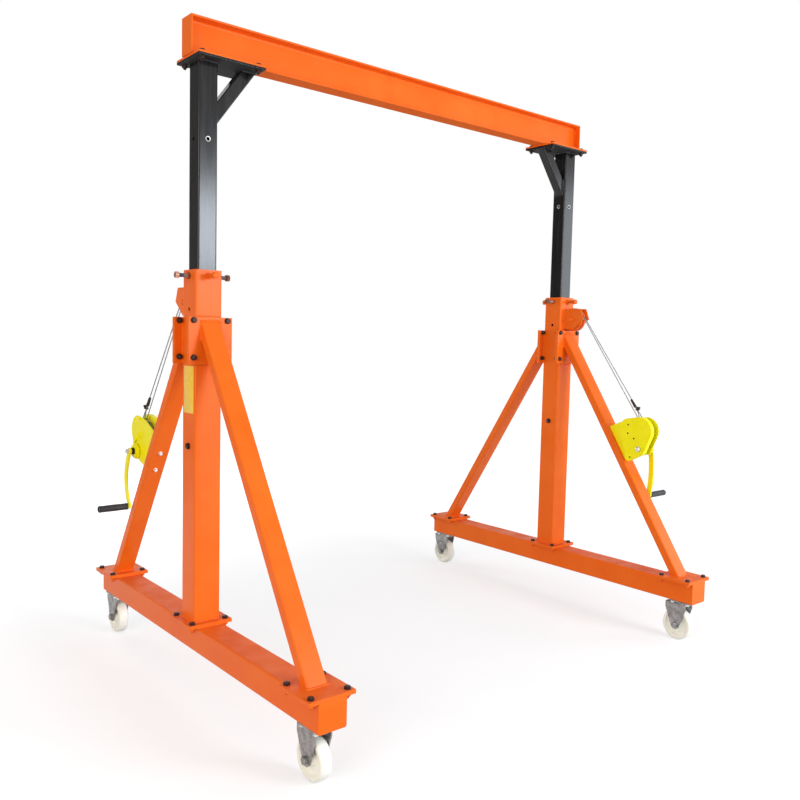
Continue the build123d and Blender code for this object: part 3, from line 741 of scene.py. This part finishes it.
def cast_nylon():
    """Cream cast nylon wheel: slightly waxy, with scuffs and grime."""
    def build(finish):
        cloud = finish.noise(scale=26, detail=4, roughness=0.6)
        grime = finish.rise(finish.noise(scale=60, detail=5, roughness=0.7), 0.58, 0.80)
        tone = finish.blend(cloud, 0.3, 0.7, cream_nylon)
        dirty = finish.mix(grime * 0.30, tone, tread_grime)
        grain = finish.noise(scale=300, detail=2, roughness=0.5)
        normal = finish.bump(grain * 0.4 + cloud * 0.4, 0.06, 0.001)
        return {"Base Color": dirty, "Roughness": 0.38 + cloud * 0.12, "Normal": normal}
    constants = {"IOR": 1.53, "Subsurface Weight": 0.12, "Subsurface Scale": 0.006}
    return surface("cast_nylon", constants, build)


def moulded_black():
    """Black moulded plastic with a faint grain and a greyed, handled surface."""
    def build(finish):
        cloud = finish.noise(scale=60, detail=4, roughness=0.6)
        tone = finish.blend(cloud, 0.3, 0.75, plastic_black)
        normal = finish.bump(finish.noise(scale=900, detail=2, roughness=0.5), 0.12, 0.0006)
        return {"Base Color": tone, "Roughness": 0.40 + cloud * 0.15, "Normal": normal}
    return surface("grip_plastic", {"IOR": 1.48}, build)


def drawn_wire():
    """Greased steel wire of the ropes, in dark and light patches."""
    def build(finish):
        cloud = finish.noise(scale=240, detail=4, roughness=0.65)
        tone = finish.blend(cloud, 0.35, 0.7, wire_grey)
        return {"Base Color": tone, "Roughness": 0.32 + cloud * 0.2}
    return surface("drawn_wire", {"Metallic": 0.9}, build)


def sticker_film():
    """Blank amber sticker: vinyl film with slight creases and rubbed patches."""
    def build(finish):
        rub = finish.noise(scale=48, detail=5, roughness=0.65)
        crease = finish.noise(scale=26, detail=2, roughness=0.5, stretch=(1, 1, 0.4))
        tone = finish.blend(rub, 0.35, 0.75, film_amber)
        normal = finish.bump(crease, 0.12, 0.001)
        return {"Base Color": tone, "Roughness": 0.34 + rub * 0.15, "Normal": normal}
    return surface("sticker_film", {"IOR": 1.48}, build)


orange = sprayed_orange()
black = gloss_black()
yellow = winch_yellow()
crank_paint = crank_yellow()
zinc = zinc_plate("dull_zinc", dull_plating, 0.30)
bright_zinc = zinc_plate("bright_zinc", bright_plating, 0.22)
copper_wash = zinc_plate("copper_wash", copper_plating, 0.26)
worn_thread = zinc_plate("worn_thread", worn_plating, 0.26)
oversprayed = oversprayed_pulley()
oxide = black_oxide()
rust = rusty_steel()
nylon = cast_nylon()
grip_plastic = moulded_black()
wire = drawn_wire()
film = sticker_film()

node_finish = {
    "beam": orange,
    "plates": orange,
    "caps": orange,
    "post": orange,
    "brace": orange,
    "bracket": orange,
    "plate": orange,
    "inner_post": black,
    "winch_frame": yellow,
    "winch_cover": yellow,
    "winch_crank": crank_paint,
    "winch_drum": zinc,
    "guide_pulley": oversprayed,
    "caster_plate": zinc,
    "caster_fork": zinc,
    "caster_wheel": nylon,
    "crank_grip": grip_plastic,
    "hoist_rope": wire,
    "post_bolts": oxide,
}


def dress_nodes():
    """Give every node of the frame its finish: the longest ending that fits its name decides."""
    for name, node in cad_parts.items():
        fitting = [ending for ending in node_finish if name.endswith(ending)]
        node.data.materials.clear()
        node.data.materials.append(node_finish[max(fitting, key=len)])


dress_nodes()


# Bolts of the frames and of the bridge

def washer_under(head):
    """Washer that suits a hexagon."""
    return head[0] * washer_share, washer_thickness


def on_washer(shape, spot, axis, disc, head):
    """Washer on a face along the axis, and a hexagon on the washer."""
    washer(shape, spot, axis, *disc)
    hexagon(shape, spot + axis * disc[1], axis, *head)


def nut_on_bolt(shape, spot, axis, disc, nut, end):
    """Nut on its washer, with the bolt's thread end standing out of it."""
    on_washer(shape, spot, axis, disc, nut)
    thread(shape, spot + axis * (disc[1] + nut[1]), axis, *end)


def frame_bolt(heads, nuts, spot, axis, grip):
    """Hexagon bolt: head and washer at spot, nut, washer and thread end on the far side of the grip."""
    on_washer(heads, spot, axis, washer_under(frame_head), frame_head)
    nut_on_bolt(nuts, spot - axis * grip, -axis, washer_under(frame_nut), frame_nut, frame_thread)


def frame_bolts(side):
    """Four bolts in each foot plate, on nuts painted with the base, and in each flange plate of one frame."""
    feet = Shape()
    nuts = Shape()
    flanges = Shape()
    for x in (-bolt_spread, bolt_spread):
        for step in (-bolt_spread, bolt_spread):
            for centre in foot_centres:
                spot = stand(side, (x, centre + step, foot_top))
                frame_bolt(feet, nuts, spot, z_axis, flange_thickness + pad_thickness)
        for step in flange_rows:
            for hand in (-1, 1):
                spot = stand(side, (x, hand * brace_face, flange_middle + step))
                frame_bolt(flanges, flanges, spot, heading(side, hand * y_axis), 2 * flange_thickness)
    piece(f"{side}_foot_bolts", feet, oxide, "frame")
    piece(f"{side}_foot_nuts", nuts, orange, "frame")
    piece(f"{side}_flange_bolts", flanges, oxide, "frame")


def head_bolts(side):
    """Bolts that tie the head plate to the inner post's plate, one near each corner."""
    shape = Shape()
    middle = (head_low.x + head_high.x) / 2 + span_half
    half_length = (head_high.x - head_low.x) / 2 - head_inset
    half_width = head_high.y - head_inset
    for x in (middle - half_length, middle + half_length):
        for y in (-half_width, half_width):
            spot = stand(side, (x, y, head_high.z))
            frame_bolt(shape, shape, spot, z_axis, head_high.z - inner_top)
    piece(f"{side}_head_bolts", shape, oxide, "bridge")


def clamp_bolts(side):
    """Threaded clamp bolts at the post's head: bare ones along x with rusty nuts, painted ones along y."""
    bright = Shape()
    dark = Shape()
    painted = Shape()
    nuts = Shape()
    length = clamp_reach - clamp_head[1] - inner_half - tip_play
    directions = (
        (-x_axis, dark, bright, nuts),
        (x_axis, dark, nuts, nuts),
        (-y_axis, painted, painted, painted),
        (y_axis, painted, painted, painted),
    )
    for direction, stem, head, nut in directions:
        axis = heading(side, direction)
        tip = stand(side, (0, 0, clamp_level)) + axis * (inner_half + tip_play)
        thread(stem, tip, axis, length, clamp_radius)
        hexagon(head, tip + axis * length, axis, *clamp_head)
        hexagon(nut, tip + axis * (post_half - inner_half), axis, *clamp_nut)
    piece(f"{side}_clamp_threads", dark, worn_thread, "frame", [f"{side}_post_bolts"])
    piece(f"{side}_clamp_head", bright, copper_wash, "frame")
    piece(f"{side}_clamp_nuts", nuts, rust, "frame")
    piece(f"{side}_painted_clamp_bolts", painted, orange, "frame")


def stop_bolt(side):
    """Bolt across the outer post that stops the inner post at its lowest: a plain rod with two heads."""
    shape = Shape()
    ends = [stand(side, (x, 0, stop_level)) for x in (-post_half, post_half)]
    outward = heading(side, -x_axis)
    for spot, axis in zip(ends, (outward, -outward)):
        on_washer(shape, spot, axis, washer_under(stop_head), stop_head)
    sweep(shape, np.linspace(*ends, fewest_points), z_axis, stop_rod, rod_sides)
    piece(f"{side}_stop_bolt", shape, oxide, "frame")


def hole_rims(side):
    """Bare metal rim round the pin holes on three faces of the inner post: a turned ring, 0.4 mm proud."""
    shape = Shape()
    for direction in (x_axis, -y_axis, y_axis):
        spot = stand(side, direction * inner_half + z_axis * pin_hole_level)
        radii = pin_hole_radius + rim_section[:, 0]
        revolve(shape, radii, rim_section[:, 1], spot, heading(side, direction), washer_columns, loop=True)
    piece(f"{side}_hole_rims", shape, bright_zinc, "bridge")


# Weld beads

def loop_on(side, centre, across, up, half_across, half_up, corner=bead_corner):
    """Rounded rectangle in the plane of two directions about a centre, in the crane's axes."""
    flat = rounded_loop(half_across, half_up, corner)
    return stand(side, np.asarray(centre, float) + flat[:, :1] * across + flat[:, 1:] * up)


def frame_welds(side):
    """Beads where post, braces, pads, flange plates and pulley cheeks are welded on."""
    shape = Shape()
    foot = loop_on(side, (0, 0, foot_top), x_axis, y_axis, post_half, post_half, tube_corner)
    bead(shape, foot, z_axis, heavy_bead, True)
    foot_half = brace_depth / math.sin(brace_angle) / 2
    head_half = brace_depth / math.cos(brace_angle) / 2
    for hand in (-1, 1):
        centre = (0, hand * (brace_foot - foot_half), foot_top)
        foot = loop_on(side, centre, x_axis, y_axis, brace_half, foot_half)
        bead(shape, foot, z_axis, heavy_bead, True)
        centre = (0, hand * brace_face, brace_top - head_half)
        head = loop_on(side, centre, x_axis, z_axis, brace_half, head_half)
        bead(shape, head, y_axis, heavy_bead, True)
        for turn in (-1, 1):
            y = hand * (post_half - column_sink)
            column = [(turn * post_half, y, z) for z in (flange_low, flange_high)]
            bead(shape, stand(side, column), x_axis, plain_bead)
            for middle in foot_centres:
                ends = (middle - plate_half, middle + plate_half)
                seam = [(turn * pad_seam, end, base_top - seam_shift) for end in ends]
                bead(shape, stand(side, seam), z_axis, fine_bead)
        for level in (flange_low, flange_high):
            reach = post_half - row_inset
            row = [(x, hand * (post_half + seam_shift), level) for x in (-reach, reach)]
            bead(shape, stand(side, row), z_axis, row_bead)
        edge = [(hand * bracket_half, post_half, z) for z in (bracket_low.z, bracket_high.z)]
        bead(shape, stand(side, edge), x_axis, fine_bead)
    piece(f"{side}_frame_welds", shape, orange, "frame")


def post_welds(side):
    """Beads where the inner post and its gusset meet the plate and each other."""
    shape = Shape()
    top = loop_on(side, (0, 0, inner_top), x_axis, y_axis, inner_half, inner_half, tube_corner)
    bead(shape, top, z_axis, plain_bead, True)
    centre = ((gusset_near + gusset_far) / 2, 0, inner_top)
    top = loop_on(side, centre, x_axis, y_axis, (gusset_far - gusset_near) / 2, gusset_half)
    bead(shape, top, z_axis, fine_bead, True)
    centre = (inner_half, 0, (gusset_high + gusset_low) / 2)
    foot = loop_on(side, centre, y_axis, z_axis, gusset_half, (gusset_high - gusset_low) / 2)
    bead(shape, foot, x_axis, fine_bead, True)
    piece(f"{side}_post_welds", shape, black, "bridge")


def beam_welds():
    """Beads along the beam's lower flange on the head plates, and round the joist inside its end plates."""
    shape = Shape()
    for end in (-1, 1):
        for hand in (-1, 1):
            seam = [(end * -x, hand * beam_high.y, beam_low.z) for x in (head_low.x, head_high.x)]
            bead(shape, seam, z_axis, heavy_bead)
            x = end * beam_high.x
            edge = hand * (beam_high.y - joist_edge[0])
            root = hand * joist_root[0]
            inside = [
                (x, edge, beam_high.z - joist_edge[1]),
                (x, root, beam_high.z - joist_root[1]),
                (x, root, beam_low.z + joist_root[1]),
                (x, edge, beam_low.z + joist_edge[1]),
            ]
            bead(shape, inside, x_axis, plain_bead)
    piece("beam_welds", shape, orange, "bridge")


# Sticker

def sticker():
    """Thin blank film on the left post's outer face: a rounded rectangle carried outwards by layers."""
    shape = Shape()
    middle = (sticker_low + sticker_high) / 2
    outline = rounded_loop(sticker_half_width, (sticker_high - sticker_low) / 2, sticker_corner)
    rows = []
    for lift, share in sticker_layers:
        x = np.full(len(outline), -post_half - lift)
        rows.append(np.column_stack([x, -outline[:, 0] * share, middle + outline[:, 1] * share]))
    shape.grid(stand("left", np.array(rows)))
    piece("post_sticker", shape, film, "frame")


# Hand winches and ropes

def winch_fasteners(side):
    """Mounting bolts through the brace, shaft nuts, cover screws and the bolt that holds the crank on."""
    bright = Shape()
    dark = Shape()
    painted = Shape()
    out = heading(side, out_of_brace)
    along = heading(side, x_axis)
    for v in winch_bolts:
        below = stand(side, on_winch(v, -brace_depth))
        nut_on_bolt(bright, below, -out, washer_under(mount_nut), mount_nut, short_thread)
        hexagon(bright, stand(side, on_winch(v, winch_floor)), out, *mount_nut)
    on_washer(painted, stand(side, on_winch(*drum_spot, -winch_half)), -along, drum_washer, drum_nut)
    for v, w in cover_screws:
        dome(dark, stand(side, on_winch(v, w, cover_face - screw_sink)), along, *cover_screw)
    for hand in (-1, 1):
        hexagon(painted, stand(side, on_winch(*tie_spot, hand * winch_half)), hand * along, *tie_nut)
    piece(f"{side}_winch_bolts", bright, bright_zinc, "frame")
    piece(f"{side}_winch_nuts", painted, yellow, "frame")
    piece(f"{side}_winch_screws", dark, oxide, "frame")
    nut = Shape()
    hub = stand(side, on_winch(*crank_spot, -crank_hub_face))
    nut_on_bolt(nut, hub, -along, crank_washer, crank_nut, short_thread)
    cap = Shape()
    far_end = stand(side, on_winch(*crank_spot, shaft_end))
    hexagon(cap, far_end, along, *shaft_nut)
    dome(cap, far_end + along * shaft_nut[1], along, *shaft_dome)
    piece(f"{side}_shaft_nut", cap, bright_zinc, f"{side}_crank")
    piece(f"{side}_crank_nut", nut, bright_zinc, f"{side}_crank")


def crank_grip(side):
    """Fluted grip turned about the crank's pin: r = R(h) (1 - d (1 + cos n a)), and the screw in its end."""
    shape = Shape()
    length = grip_high.x - grip_low.x
    spot = on_winch(*crank_spot)
    low = stand(side, (grip_high.x + span_half, spot[1], spot[2] - crank_radius))
    axis = heading(side, -x_axis)
    along, outline = grip_profile.T
    fluted = (along > flute_range[0]) & (along < flute_range[1])
    depth = np.where(fluted, flute_depth, 0.0)[:, None]
    radii = grip_radius * outline[:, None] * (1 - depth * (1 + np.cos(flute_count * circle(grip_columns))))
    revolve(shape, radii, along * length, low, axis, grip_columns)
    piece(f"{side}_fluted_grip", shape, grip_plastic, f"{side}_crank", [f"{side}_crank_grip"])
    screw = Shape()
    dome(screw, low + axis * length * grip_screw_seat, axis, *grip_screw)
    piece(f"{side}_grip_screw", screw, bright_zinc, f"{side}_crank")


def twisted(shape, path, across):
    """Laid wire rope: strands round the path, each a tube on a helix of one turn a lay."""
    path = np.asarray(path, float)
    normal, second = square_to(path, across)
    along = distances(path)[:, None]
    helix = rope_radius * 2 / 3
    for strand in range(strand_count):
        turn = 2 * np.pi * (along / rope_lay + strand / strand_count)
        centre = path + helix * (np.cos(turn) * normal + np.sin(turn) * second)
        sweep(shape, centre, normal, strand_radius, strand_sides)


def ring_point(centre, radius, angle):
    """Point (y, z) on a circle."""
    return np.array([centre[0] + radius * math.cos(angle), centre[1] + radius * math.sin(angle)])


def strand_heading(target, radius):
    """Angle of the straight run that touches the guide pulley and a circle round the target, outside both."""
    across = target[0] - pulley_spot[0]
    drop = target[1] - pulley_spot[1]
    return math.atan2(drop, across) - math.asin((pulley_radius - radius) / math.hypot(across, drop))


def over_pulley(target, radius):
    """Points (y, z) up inside the post, over the pulley and straight on to the circle round the target."""
    outward = strand_heading(target, radius) + math.pi / 2
    rise = [(pulley_spot[0] - pulley_radius, pulley_spot[1] - rope_end_drop)]
    turns = np.linspace(math.pi, outward, pulley_arc_points)
    arc = [ring_point(pulley_spot, pulley_radius, turn) for turn in turns]
    return rise + arc + [ring_point(target, radius, outward)], outward


def lay_strand(shape, side, x, flat):
    """Wire rope through points (y, z) in the plane at x of a frame's own axes."""
    path = resample([(x, y, z) for y, z in flat], rope_spacing)
    twisted(shape, stand(side, path), heading(side, x_axis))


def rope_turns(side, drum, radius, outward):
    """Turns wound on the drum: a helix of one rope's width a turn, from where the strand meets the drum."""
    turns = (strand_offset - coil_low) / coil_pitch
    turn = np.linspace(0, 2 * np.pi * turns, int(points_per_turn * turns))
    angle = outward - turn
    x = strand_offset - (strand_offset - coil_low) * turn / turn[-1]
    path = np.column_stack([x, drum[0] + radius * np.cos(angle), drum[1] + radius * np.sin(angle)])
    radial = np.column_stack([0 * angle, np.cos(angle), np.sin(angle)])
    coil = Shape()
    twisted(coil, stand(side, path), heading(side, radial))
    piece(f"{side}_rope_turns", coil, wire, "frame")


def rope_clip(side, start, away, out):
    """Clip and sleeve on a looped end: a bent bar under a saddle with two nuts, and a tapered tube above."""
    clip = Shape()
    across = heading(side, x_axis)
    lift = heading(side, (0.0, *out))
    along = heading(side, (0.0, *away))
    centre = stand(side, (-strand_offset, *(start - clip_up * away)))
    low = -pair_gap - rope_radius - clip_bar
    turns = np.linspace(math.pi, 0, clip_arc_points)
    bow = [(math.cos(turn) * clip_leg, low + clip_leg * (1 - math.sin(turn))) for turn in turns]
    hoop = [(-clip_leg, clip_tip)] + bow + [(clip_leg, clip_tip)]
    hoop_path = resample([centre + s * across + t * lift for s, t in hoop], clip_spacing)
    sweep(clip, hoop_path, along, clip_bar, clip_sides)
    saddle = rounded_loop(*saddle_half, saddle_corner)
    rows = np.array([
        centre + saddle[:, :1] * share * across + saddle[:, 1:] * share * along + t * lift
        for share, t in saddle_layers
    ])
    clip.grid(rows if np.dot(np.cross(across, along), lift) > 0 else rows[:, ::-1])
    for hand in (-1, 1):
        spot = centre + hand * clip_leg * across + saddle_top * lift
        hexagon(clip, spot, lift, *clip_nut, small_hexagon_columns)
    foot = stand(side, (-strand_offset, *(start - pair_gap / 2 * out - sleeve_start * away)))
    share = np.linspace(0, 1, sleeve_points)
    sleeve = foot - along * (share * sleeve_length)[:, None]
    ends = np.sqrt(np.clip(1 - (2 * share - 1) ** sleeve_power, sleeve_end, 1))
    radii = ends * (sleeve_wide + (sleeve_narrow - sleeve_wide) * share)
    sweep(clip, sleeve, across, radii, sleeve_sides)
    piece(f"{side}_rope_clip", clip, oxide, "frame")


def hoist_rope(side):
    """Both strands of one rope: one runs on to the drum, the other round the tie rod and back up."""
    rope = Shape()
    drum = on_winch(*drum_spot)[1:]
    wound = drum_radius + rope_radius + rope_play
    flat, outward = over_pulley(drum, wound)
    lay_strand(rope, side, strand_offset, flat)
    rope_turns(side, drum, wound, outward)

    tie = on_winch(*tie_spot)[1:]
    loop = tie_radius + rope_radius + rope_play
    flat, outward = over_pulley(tie, loop)
    out = np.array([math.cos(outward), math.sin(outward)])
    away = np.array([out[1], -out[0]])
    turns = np.linspace(outward, outward - math.pi, tie_arc_points)
    bend = [ring_point(tie, loop, turn) for turn in turns]
    up = np.linspace(0, tail_length, tail_points)[1:]
    pinch = np.clip(up / pinch_length, 0, 1)
    gap = pair_gap + (2 * loop - pair_gap) * (0.5 + 0.5 * np.cos(math.pi * pinch))
    start = ring_point(tie, loop, outward)
    tail = start - up[:, None] * away - gap[:, None] * out
    lay_strand(rope, side, -strand_offset, flat + bend[1:] + list(tail))
    piece(f"{side}_wire_rope", rope, wire, "frame", [f"{side}_hoist_rope"])
    rope_clip(side, start, away, out)


def pulley_pin(side):
    """Bolt head and nut on the ends of the pin that carries the guide pulley."""
    shape = Shape()
    along = heading(side, x_axis)
    for hand in (-1, 1):
        spot = stand(side, (hand * bracket_half, *pulley_spot))
        on_washer(shape, spot, hand * along, pin_washer, pin_nut)
    piece(f"{side}_pulley_pin", shape, orange, "frame")


# Casters: the wheel's profile is (place along the axle, radius), from one edge of the tread to the bore

wheel_profile = [
    (-0.0225, 0.0660), (-0.0215, 0.0705), (-0.0180, 0.0738), (-0.0100, 0.0749), (0.0, 0.0750),
    (0.0100, 0.0749), (0.0180, 0.0738), (0.0215, 0.0705), (0.0225, 0.0660), (0.0225, 0.0605),
    (0.0215, 0.0580), (0.0120, 0.0555), (0.0090, 0.0520), (0.0090, 0.0300), (0.0105, 0.0260),
    (0.0200, 0.0225), (0.0255, 0.0205), (0.0260, 0.0190), (0.0260, 0.0105), (0.0255, 0.0079),
]
tread_points = 9


def caster_wheel(name, spot):
    """Wheel turned from its tread and one side with its mirror image: rim lips, thin web and long hub."""
    shape = Shape()
    mirrored = [(-x, radius) for x, radius in reversed(wheel_profile[tread_points:])]
    outline = np.array(wheel_profile + mirrored)
    revolve(shape, outline[:, 1], outline[:, 0], spot, x_axis, wheel_columns, loop=True)
    piece(f"{name}_nylon_wheel", shape, nylon, f"{name}_wheel", [f"{name}_caster_wheel"])


def caster_bolts(name, x, y):
    """Bolts that hold the caster's plate under the base beam."""
    shape = Shape()
    for dx in (-caster_bolt_spread, caster_bolt_spread):
        for dy in (-caster_bolt_spread, caster_bolt_spread):
            spot = np.array([x + dx, y + dy, caster_plate_under])
            on_washer(shape, spot, -z_axis, caster_washer, caster_head)
    piece(f"{name}_caster_bolts", shape, bright_zinc, "frame")


for side, x in side_shift.items():
    frame_bolts(side)
    head_bolts(side)
    clamp_bolts(side)
    stop_bolt(side)
    hole_rims(side)
    frame_welds(side)
    post_welds(side)
    winch_fasteners(side)
    crank_grip(side)
    hoist_rope(side)
    pulley_pin(side)
    for end, hand in (("front", -1), ("rear", 1)):
        y = hand * (base_high.y - caster_inset)
        caster_wheel(f"{side}_{end}", (x, y + caster_trail, axle_level))
        caster_bolts(f"{side}_{end}", x, y)
beam_welds()
sticker()


# Floor, surround, lights and camera

daylight = (0.90, 0.98, 1.08)
warm_white = (1.0, 0.90, 0.80)
ambient_level = 0.55
floor_half = 30.0
glow_near = 0.47
glow_far = 0.72
glow_spread = (0.5, 4.2)
wall_low = (-11.0, -0.1)
wall_high = (-0.9, 5.0)
wall_distance = 4.2
matt = {"Roughness": 1.0, "Specular IOR Level": 0.0}

# Lamps: name, place, target, (width, height), radiance and tint
lamps = (
    ("window", (1.4, -4.9, 2.45), (-0.6, 0.0, 1.6), (1.7, 0.95), 23, daylight),
    ("door", (1.2, -5.0, 0.95), (-0.6, 0.0, 0.95), (3.6, 1.9), 3.2, daylight),
    ("second_window", (6.4, -4.6, 2.4), (0.6, 0.0, 1.4), (3.0, 2.3), 4.4, daylight),
    ("side_fill", (-6.5, -3.0, 2.2), (-1.0, 0.0, 1.2), (4.0, 3.0), 5.4, warm_white),
    ("back_fill", (-1.0, 5.4, 1.4), (0.0, 0.0, 1.2), (2.4, 2.4), 5.0, daylight),
)


def seen_directly(finish):
    """1 for rays that come from the camera, a mirror or glass, 0 for light on its way to a matt surface."""
    view = finish.node("ShaderNodeLightPath", output="Is Camera Ray")
    gloss = finish.node("ShaderNodeLightPath", output="Is Glossy Ray")
    glass = finish.node("ShaderNodeLightPath", output="Is Transmission Ray")
    return view.either(gloss).either(glass)


def white_surround():
    """World that looks white and lights softly."""
    world = bpy.data.worlds.new("white_surround")
    world.use_nodes = True
    finish = Finish(world.node_tree)
    strength = ambient_level + seen_directly(finish) * (1 - ambient_level)
    background = world.node_tree.nodes["Background"]
    background.inputs["Color"].default_value = grey(1.0)
    finish.feed(background.inputs["Strength"], strength)
    bpy.context.scene.world = world


def stage_card(name, corners, material, reflections_only=False):
    """Flat card of the stage with four corners, given in order round it."""
    mesh = bpy.data.meshes.new(name)
    mesh.from_pydata(corners, [], [(0, 1, 2, 3)])
    mesh.materials.append(material)
    card = bpy.data.objects.new(name, mesh)
    if reflections_only:
        card.visible_camera = False
        card.visible_diffuse = False
        card.visible_shadow = False
    bpy.context.collection.objects.link(card)


def pale_floor():
    """Large floor that looks white and keeps the crane's soft shadow."""
    def build(finish):
        distance = finish.node("ShaderNodeVectorMath", {"operation": "LENGTH"}, {0: finish.spot()}, "Value")
        level = glow_near + finish.rise(distance, *glow_spread) * (glow_far - glow_near)
        glow = seen_directly(finish) * level
        shade = finish.node("ShaderNodeCombineColor", None, {0: glow, 1: glow, 2: glow})
        grain = finish.noise(scale=3, detail=3, roughness=0.5)
        tone = finish.blend(grain, 0.3, 0.7, floor_white)
        return {"Base Color": tone, "Emission Color": shade}
    material = surface("pale_floor", {**matt, "Emission Strength": 1.0}, build)
    turns = ((-1, -1), (1, -1), (1, 1), (-1, 1))
    stage_card("floor", [(sx * floor_half, sy * floor_half, 0.0) for sx, sy in turns], material)


def grey_wall():
    """Grey wall beside the picture, seen in reflections only, so that the faces turned to it read deep."""
    def build(finish):
        grain = finish.noise(scale=2, detail=2, roughness=0.5)
        return {"Base Color": finish.blend(grain, 0.3, 0.7, wall_grey)}
    (left, bottom), (right, top) = wall_low, wall_high
    outline = ((left, bottom), (left, top), (right, top), (right, bottom))
    corners = [(x, wall_distance, z) for x, z in outline]
    stage_card("grey_wall", corners, surface("grey_cloth", matt, build), reflections_only=True)


def settle(made, place, across, up, back):
    """Put a lamp or a camera at a place, its own x, y and z along three directions."""
    turn = Matrix(np.column_stack([across, up, back]).tolist()).to_4x4()
    made.matrix_world = Matrix.Translation(place) @ turn
    bpy.context.collection.objects.link(made)


def soft_light(name, place, target, size, radiance, tint):
    """Rectangular lamp at a place, facing a target; its power is pi times area times radiance."""
    lamp = bpy.data.lights.new(name, "AREA")
    lamp.shape = "RECTANGLE"
    lamp.size, lamp.size_y = size
    lamp.energy = math.pi * size[0] * size[1] * radiance
    lamp.color = tint
    made = bpy.data.objects.new(name, lamp)
    made.visible_camera = False
    settle(made, place, *basis(np.asarray(place, float) - np.asarray(target, float)))


def photo_camera():
    """Camera at the photograph's place: yaw about Z, then pitch, then roll about its own line of sight."""
    sight = np.array([
        -math.sin(camera_yaw) * math.cos(camera_pitch),
        math.cos(camera_yaw) * math.cos(camera_pitch),
        math.sin(camera_pitch),
    ])
    level = np.array([math.cos(camera_yaw), math.sin(camera_yaw), 0.0])
    upright = np.cross(level, sight)
    right = math.cos(camera_roll) * level + math.sin(camera_roll) * upright
    up = -math.sin(camera_roll) * level + math.cos(camera_roll) * upright
    lens = bpy.data.cameras.new("photo_camera")
    lens.sensor_width = sensor_width
    lens.lens = focal_share * sensor_width
    made = bpy.data.objects.new("photo_camera", lens)
    settle(made, camera_place, right, up, -sight)
    bpy.context.scene.camera = made


white_surround()
pale_floor()
grey_wall()
for lamp in lamps:
    soft_light(*lamp)
photo_camera()
bpy.context.scene.view_settings.view_transform = "Standard"
